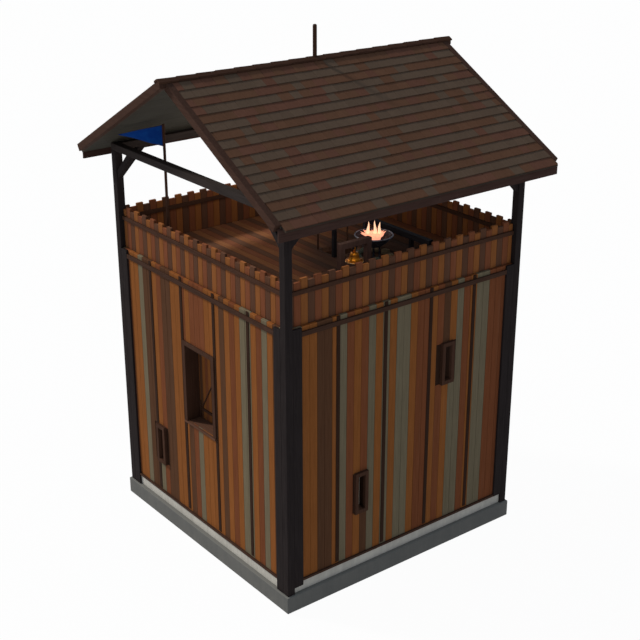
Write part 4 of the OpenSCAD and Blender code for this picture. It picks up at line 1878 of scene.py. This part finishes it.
@dataclass
class BellStand(Assembly):
    """Low bell frame with the swinging bell between its posts.

    The beam of the frame is beam_cut lower than in the solid and ends end_cut sooner.
    """

    beam_cut: float = 0.050
    end_cut: float = 0.055
    near_end: float = 0.03
    tall: float = 0.215
    wall: float = 0.012
    bead: float = 0.012
    bead_level: float = 0.018
    ribs: tuple[float, ...] = (0.066, 0.078, 0.1591)
    rib: float = 0.003
    rib_width: float = 0.0035
    pin_drop: float = 0.032
    loop_outer: float = 0.032
    loop_inner: float = 0.015
    loop_half: float = 0.011
    loop_foot: float = 0.030
    loop_spread: float = 1.3
    loop_foot_from: float = 0.55
    loop_sunk: float = 0.006
    arris: float = 0.007
    cheek_arris: float = 0.0015

    def build(self) -> list[Object]:
        """Makes the pieces.

        Returns:
            The pieces.
        """
        # The stand's lighter stain paints the light that it lacks under the roof.
        frame = eased("bell_timbers", "bell_frame", self.shop.timber(Stain.BELL_STAND, Way.Z),
                      self.arris, "brown_trim")
        low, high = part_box("bell_frame")
        for vertex in frame.data.vertices:
            point = vertex.co
            if point.z > high.z - self.near_end:
                point.z -= self.beam_cut
            if point.y < low.y + self.near_end:
                point.y += self.end_cut
            elif point.y > high.y - self.near_end:
                point.y -= self.end_cut
        cheeks = eased("bell_cheeks", "bell_bracket", self.shop.finish(FORGED_IRON),
                       self.cheek_arris, "black_iron")
        return [frame, cheeks, self.bell(), self.rim()]

    def bell(self) -> Object:
        """Cast bell with sound bow, ribs and crown loop.

        Returns:
            The piece, which rides on the bell body.
        """
        low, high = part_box("bell")
        centre = box_foot("bell")
        r, tall, wall = (high.x - low.x) / 2, self.tall, self.wall
        outer = curve_through([(r - 0.022, 0.0), (r - 0.006, 0.004), (r, 0.016),
                               (r - 0.006, 0.030), (r - 0.020, 0.038), (r * 0.72, 0.052),
                               (r * 0.61, 0.074), (r * 0.52, tall * 0.55),
                               (r * 0.45, tall * 0.80), (r * 0.37, tall * 0.93),
                               (r * 0.20, tall * 0.99), (0.0, tall)], 4)
        ribbed = [(radius + sum(self.rib * math.exp(-((level - mark) / self.rib_width) ** 2)
                                for mark in self.ribs), level) for radius, level in outer]
        inner = curve_through([(0.0, tall - wall), (r * 0.18, tall - wall),
                               (r * 0.36 - wall, tall * 0.87), (r * 0.44 - wall, tall * 0.75),
                               (r * 0.52 - wall, tall * 0.50), (r * 0.60 - wall, 0.056),
                               (r * 0.72 - wall, 0.034), (r - 0.040, 0.014),
                               (r - 0.022, 0.0)], 3)
        shape = bmesh.new()
        lathe(shape, ribbed, centre, 72)
        lathe(shape, inner, centre, 72)
        self.crown(shape, centre, high.z - self.pin_drop)
        cast = from_bmesh("bell_cast", shape, self.shop.finish(BELL_METAL), smooth=True)
        return dress(cast, "bronze", "bell", body=BELL)

    def rim(self) -> Object:
        """Pale bead round the lip of the bell, whose colour paints the highlight on the lip.

        Returns:
            The piece, which rides on the bell body.
        """
        low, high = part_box("bell")
        reach = (high.x - low.x) / 2 - self.bead
        rim = turned("bell_rim", round_bar(reach, self.bead_level, self.bead, 12),
                     box_foot("bell"), self.shop.finish(HIGHLIGHT_RIM_METAL), 72)
        return dress(rim, "bronze", body=BELL)

    def crown(self, shape: BMesh, centre: Vector, pivot: float) -> None:
        """Adds the crown loop that hangs on the pin, with a foot that sinks in the bell.

        Args:
            shape: The bmesh of the bell.
            centre: Centre of the lip.
            pivot: Level of the pin.
        """
        around = 40
        loops = []
        for y in (-self.loop_half, self.loop_half):
            for radius in (self.loop_outer, self.loop_inner):
                ring = []
                for i in range(around):
                    angle = math.tau * i / around
                    x, z = radius * math.sin(angle), pivot - radius * math.cos(angle)
                    if radius == self.loop_outer and math.cos(angle) > self.loop_foot_from:
                        z = centre.z + self.tall - self.loop_sunk
                        x = max(-self.loop_foot, min(self.loop_foot, x * self.loop_spread))
                    ring.append(shape.verts.new((centre.x + x, centre.y + y, z)))
                loops.append(ring)
        for i in range(around):
            j = (i + 1) % around
            for first, second in ((0, 1), (2, 3), (0, 2), (1, 3)):
                shape.faces.new([loops[first][i], loops[first][j], loops[second][j],
                                 loops[second][i]])


@dataclass
class Brazier(Assembly):
    """Iron fire bowl on legs with coals, flames and a ring of hearth stones."""

    bar: float = 0.016
    wall: float = 0.010
    floor: float = 0.012
    leg: float = 0.022
    coals: int = 90
    coal: float = 0.055
    coal_reach: float = 0.86
    coal_squeeze: float = 0.62
    coal_tall: tuple[float, float] = (0.075, 0.07)
    coal_sunk: float = 0.045
    coal_heave: float = 0.02
    coal_wobble: float = 0.22
    coal_seed: int = 9
    flames: tuple[tuple[float, float, float], ...] = (
        (-0.075, -0.096, 0.94), (0.012, 0.014, 1.0), (0.076, 0.096, 0.90))
    stones: int = 9
    stone: tuple[float, float] = (0.078, 0.092)
    stone_inset: float = 0.085
    stone_turn: float = 12.0
    stone_square: float = 0.55
    stone_dent: float = 0.05
    stone_waves: float = 3.2
    warm_from: float = 0.62
    seed: int = 12
    centre: Vector = field(init=False)
    rim: float = field(init=False)
    level: float = field(init=False)
    foot: float = field(init=False)

    def __post_init__(self) -> None:
        """Reads the bowl from the frame."""
        low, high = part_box("brazier_bowl")
        self.centre = Vector(((low.x + high.x) / 2, (low.y + high.y) / 2, 0))
        self.rim = (high.x - low.x) / 2 - self.bar
        self.level = high.z - self.bar
        self.foot = low.z

    def build(self) -> list[Object]:
        """Makes the pieces.

        Returns:
            The pieces.
        """
        return [*self.bowl(), self.legs(), *self.fire(), self.flame(), self.hearth()]

    def bowl(self) -> list[Object]:
        """Ring bar and hammered bowl.

        Returns:
            The pieces.
        """
        r, top, depth = self.rim, self.level, self.level - self.foot
        outside = curve_through([(r - self.bar * 0.6, top - 0.004),
                                 (r * 0.84, top - depth * 0.34),
                                 (r * 0.60, top - depth * 0.72),
                                 (r * 0.34, top - depth * 0.97), (0.0, self.foot)], 5)
        inside = [(max(0.0, x - self.wall), z + self.floor) for x, z in outside]
        hoop = turned("fire_ring", round_bar(r, top, self.bar, 14), self.centre,
                      self.shop.finish(PALE_HOOP), 72)
        bowl = turned("fire_bowl", outside + inside[::-1], self.centre,
                      self.shop.finish(SOOTY_IRON), 72)
        return [dress(hoop, "black_iron"), dress(bowl, "black_iron", "brazier_bowl")]

    def legs(self) -> Object:
        """Four forged legs with feet and collars.

        Returns:
            The piece.
        """
        low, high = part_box("brazier_legs")
        r, top = self.leg, high.z
        reach = (high.x - low.x) / 2 - r
        profile = [(0.0, low.z), (r, low.z), (r, low.z + 0.012), (r * 0.72, low.z + 0.03),
                   (r * 0.66, top - 0.05), (r * 0.8, top - 0.03), (r, top - 0.012), (r, top),
                   (0.0, top)]
        shape = bmesh.new()
        for x, y in ((-1, -1), (-1, 1), (1, -1), (1, 1)):
            lathe(shape, profile, Vector((self.centre.x + x * reach,
                                          self.centre.y + y * reach, 0)), 16)
        legs = from_bmesh("fire_legs", shape, self.shop.finish(FORGED_IRON), smooth=True)
        return dress(legs, "black_iron", "brazier_legs")

    def fire(self) -> list[Object]:
        """Glowing coals, set out in a spiral, and the bed that they lie on.

        Returns:
            The pieces.
        """
        low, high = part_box("brazier_fire")
        chance = random.Random(self.seed)
        spread = (high.x - low.x) / 2
        lumps = []
        for i in range(self.coals):
            radius = spread * self.coal_reach * math.sqrt((i + 0.5) / self.coals)
            angle = i * GOLDEN_ANGLE
            tall = self.coal_tall[0] + self.coal_tall[1] * chance.random()
            level = self.level - self.coal_sunk + self.coal_heave * chance.random()
            lumps.append(Piece(
                self.centre + Vector((radius * math.cos(angle) * self.coal_squeeze,
                                      radius * math.sin(angle) * self.coal_squeeze, level)),
                Vector((self.coal, self.coal, tall * (0.8 + 0.6 * radius / spread))),
                (0.0, 0.25 + radius / spread, angle)))
        coals = self.shop.carpenter.set_out(
            "coals", lumps, self.shop.finish(COALS), self.coal_seed,
            stock=self.shop.carpenter.shard, wobble=self.coal_wobble)
        profile = [(0.0, low.z), (spread * 0.44, low.z), (spread * 0.60, self.level - 0.03),
                   (spread * 0.50, self.level + 0.012), (0.0, self.level + 0.03)]
        bed = turned("coal_bed", profile, self.centre, self.shop.finish(COALS), 24)
        return [dress(coals, "glow", "brazier_fire"), dress(bed, "glow")]

    def flame(self) -> Object:
        """Three flames, hotter towards their tips.

        Returns:
            The piece.
        """
        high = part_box("brazier_fire")[1]
        base = self.level + 0.03
        shape = bmesh.new()
        heat = shape.verts.layers.float.new("heat")
        for x, y, share in self.flames:
            top = base + (high.z - base) * share
            profile = curve_through([(0.0, base), (0.030, base + 0.006), (0.037, base + 0.04),
                                     (0.026, base + (top - base) * 0.45),
                                     (0.012, base + (top - base) * 0.80), (0.0, top)], 5)
            before = len(shape.verts)
            lathe(shape, profile, self.centre + Vector((x, y, 0)), 18)
            shape.verts.ensure_lookup_table()
            for vertex in shape.verts[before:]:
                rise = (vertex.co.z - base) / (top - base)
                vertex[heat] = 0.55 + 0.5 * rise
                vertex.co.x += 0.012 * math.sin(rise * 5.0 + x * 30)
        flames = from_bmesh("flames", shape, self.shop.finish(FLAME), smooth=True)
        return dress(flames, "glow")

    def hearth(self) -> Object:
        """Ring of rough stones round the foot of the brazier.

        Returns:
            The piece.
        """
        low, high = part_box("hearth_stones")
        reach = (high.x - low.x) / 2 - self.stone_inset
        chance = random.Random(self.seed + 5)
        shape = bmesh.new()
        tone = shape.verts.layers.float.new("tone")
        for i in range(self.stones):
            angle = math.radians(i * 360 / self.stones + self.stone_turn)
            tall = (high.z - low.z) * (0.72 + 0.28 * chance.random())
            rock = bmesh.ops.create_icosphere(shape, subdivisions=3, radius=1.0)["verts"]
            turn = Matrix.Rotation(angle + 0.3 * chance.random(), 3, "Z")
            size = Vector((*self.stone, tall / 2))
            waves = [Vector((chance.uniform(-1, 1), chance.uniform(-1, 1),
                             chance.uniform(-1, 1))) * self.stone_waves for _ in range(5)]
            tint = chance.random()
            middle = self.centre + Vector((reach * math.cos(angle), reach * math.sin(angle),
                                           low.z + tall / 2))
            for vertex in rock:
                ball = vertex.co.copy()
                block = Vector([math.copysign(abs(c) ** self.stone_square, c) for c in ball])
                dent = 1.0 - self.stone_dent * sum(math.sin(ball.dot(w)) for w in waves) / 2
                vertex.co = middle + turn @ Vector(
                    tuple(c * s * dent for c, s in zip(block, size)))
                vertex.co.z = max(low.z, min(high.z, vertex.co.z))
                vertex[tone] = 1.0 if tint > self.warm_from else 0.15 * tint
        rocks = from_bmesh("hearth_rocks", shape, self.shop.finish(HEARTH_STONE), smooth=True)
        return dress(rocks, "hearth_stone", "hearth_stones")


@dataclass
class Bench(Assembly):
    """Bench beam on two legs."""

    arris: float = 0.008

    def build(self) -> list[Object]:
        """Makes the piece.

        Returns:
            The piece.
        """
        return [eased("bench_timbers", "bench", self.shop.timber(Stain.TAR, Way.X),
                      self.arris, "black_timber")]


@dataclass
class Studio:
    """Camera, light, pale floor and white background."""

    azimuth: float = 51.985
    elevation: float = 22.535
    distance: float = 28.559
    lens: float = 71.58
    sensor: float = 36.0
    clip: tuple[float, float] = (0.5, 400.0)
    target: Vector = field(default_factory=lambda: Vector((0.0719, 0.0799, 4.7162)))
    sun_from: Vector = field(default_factory=lambda: Vector((-0.66, -0.40, 0.63)))
    sun_strength: float = 2.75
    sun_spread: float = 6.5
    sun_colour: RGB = (1.0, 0.965, 0.91)
    lamp_colour: RGB = (1.0, 0.92, 0.84)
    lamps: tuple[tuple[str, float, tuple[float, float, float], float], ...] = (
        ("deck_fill_left", 100.0, (-1.3, -0.8, 9.0), 1.0),
        ("deck_fill_right", 52.0, (2.5, -1.5, 8.4), 0.9),
        ("inside_fill", 210.0, (-0.3, 0.3, 4.4), 0.8))
    sky_strength: float = 0.49
    sky_colour: RGB = (0.80, 0.93, 1.11)
    floor_colour: RGB = (0.60, 0.61, 0.63)
    floor_reach: float = 120.0
    floor_drop: float = 0.002
    floor_glow: float = 0.42
    floor_glow_seen: float = 0.55

    def build(self) -> None:
        """Makes the camera, the lamps, the sky and the floor."""
        scene = bpy.context.scene
        a, e = math.radians(self.azimuth), math.radians(self.elevation)
        back = Vector((math.sin(a) * math.cos(e), -math.cos(a) * math.cos(e), math.sin(e)))
        camera = self.stand("camera", bpy.data.cameras.new("camera"), back)
        camera.data.lens, camera.data.sensor_width = self.lens, self.sensor
        camera.data.clip_start, camera.data.clip_end = self.clip
        camera.location = self.target + back * self.distance
        scene.camera = camera
        sun = self.stand("sun", bpy.data.lights.new("sun", "SUN"), self.sun_from)
        sun.data.energy, sun.data.color = self.sun_strength, self.sun_colour
        sun.data.angle = math.radians(self.sun_spread)
        for name, power, spot, size in self.lamps:
            glow = self.stand(name, bpy.data.lights.new(name, "POINT"))
            glow.data.energy, glow.data.shadow_soft_size = power, size
            glow.data.color = self.lamp_colour
            glow.location = spot
            glow.visible_camera = False
        scene.view_settings.view_transform = "Standard"
        scene.world = self.sky()
        self.floor()

    @staticmethod
    def stand(name: str, data: ID, back: Vector | None = None) -> Object:
        """Links a camera or a lamp.

        Args:
            name: Its name.
            data: Its camera or light data.
            back: Direction that it looks away from; left out, it isn't turned.

        Returns:
            The object.
        """
        made = bpy.data.objects.new(name, data)
        bpy.context.scene.collection.objects.link(made)
        if back:
            made.rotation_mode = "QUATERNION"
            made.rotation_quaternion = back.to_track_quat("Z", "Y")
        return made

    def sky(self) -> World:
        """White to the camera, soft and slightly cool to the object.

        Returns:
            The world.
        """
        graph = Graph("studio", world=True)
        seen = graph.rays("Camera", "Transmission")
        soft = graph.out("ShaderNodeBackground", 0, None,
                         {"Color": (*self.sky_colour, 1.0), "Strength": self.sky_strength})
        white = graph.out("ShaderNodeBackground", 0, None,
                          {"Color": (1.0, 1.0, 1.0, 1.0), "Strength": 1.0})
        mixed = graph.out("ShaderNodeMixShader", 0, None, {0: seen, 1: soft, 2: white})
        graph.node("ShaderNodeOutputWorld", None, {"Surface": mixed})
        return graph.made

    def floor(self) -> None:
        """Wide floor that keeps a soft shadow and glows white where it is seen."""
        shape = bmesh.new()
        bmesh.ops.create_circle(shape, cap_ends=True, segments=96, radius=self.floor_reach)
        graph = Graph("studio floor")
        plain = graph.out("ShaderNodeBsdfDiffuse", 0, None,
                          {"Color": (*self.floor_colour, 1.0)})
        lit = graph.out("ShaderNodeEmission", 0, None,
                        {"Color": (1.0, 1.0, 1.0, 1.0), "Strength": 1.0})
        share = (graph.rays("Camera", "Glossy", "Transmission") * self.floor_glow_seen
                 + self.floor_glow)
        mixed = graph.out("ShaderNodeMixShader", 0, None, {0: share, 1: plain, 2: lit})
        graph.node("ShaderNodeOutputMaterial", None, {"Surface": mixed})
        floor = from_bmesh("floor", shape, graph.made)
        for vertex in floor.data.vertices:
            vertex.co.z = -self.floor_drop


def main() -> None:
    """Builds the studio and every sub-assembly in order."""
    logging.basicConfig(level=logging.INFO, format="%(message)s")
    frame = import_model()
    Studio().build()
    shop = Shop(frame["record"]["physics"]["openings"])
    for assembly in (Base(shop), Frame(shop), Walls(shop), Openings(shop), Lookout(shop),
                     Roof(shop), Pennant(shop), BellStand(shop), Brazier(shop), Bench(shop)):
        for piece in assembly.build():
            LOG.info("%s: %s, %d faces", type(assembly).__name__, piece.name,
                     len(piece.data.polygons))
    shop.carpenter.clear()
    # The wall panels behind the boards take the dark batten stain: dark joints between boards,
    # and painted shade in the slit reveals.
    joints_and_shade_lining = shop.timber(Stain.BATTEN, Way.Z)
    for node in ("wall_front", "wall_right", "wall_back", "wall_left"):
        mesh = frame["nodes"][node].data
        mesh.materials.clear()
        mesh.materials.append(joints_and_shade_lining)


if __name__ == "__main__":
    main()
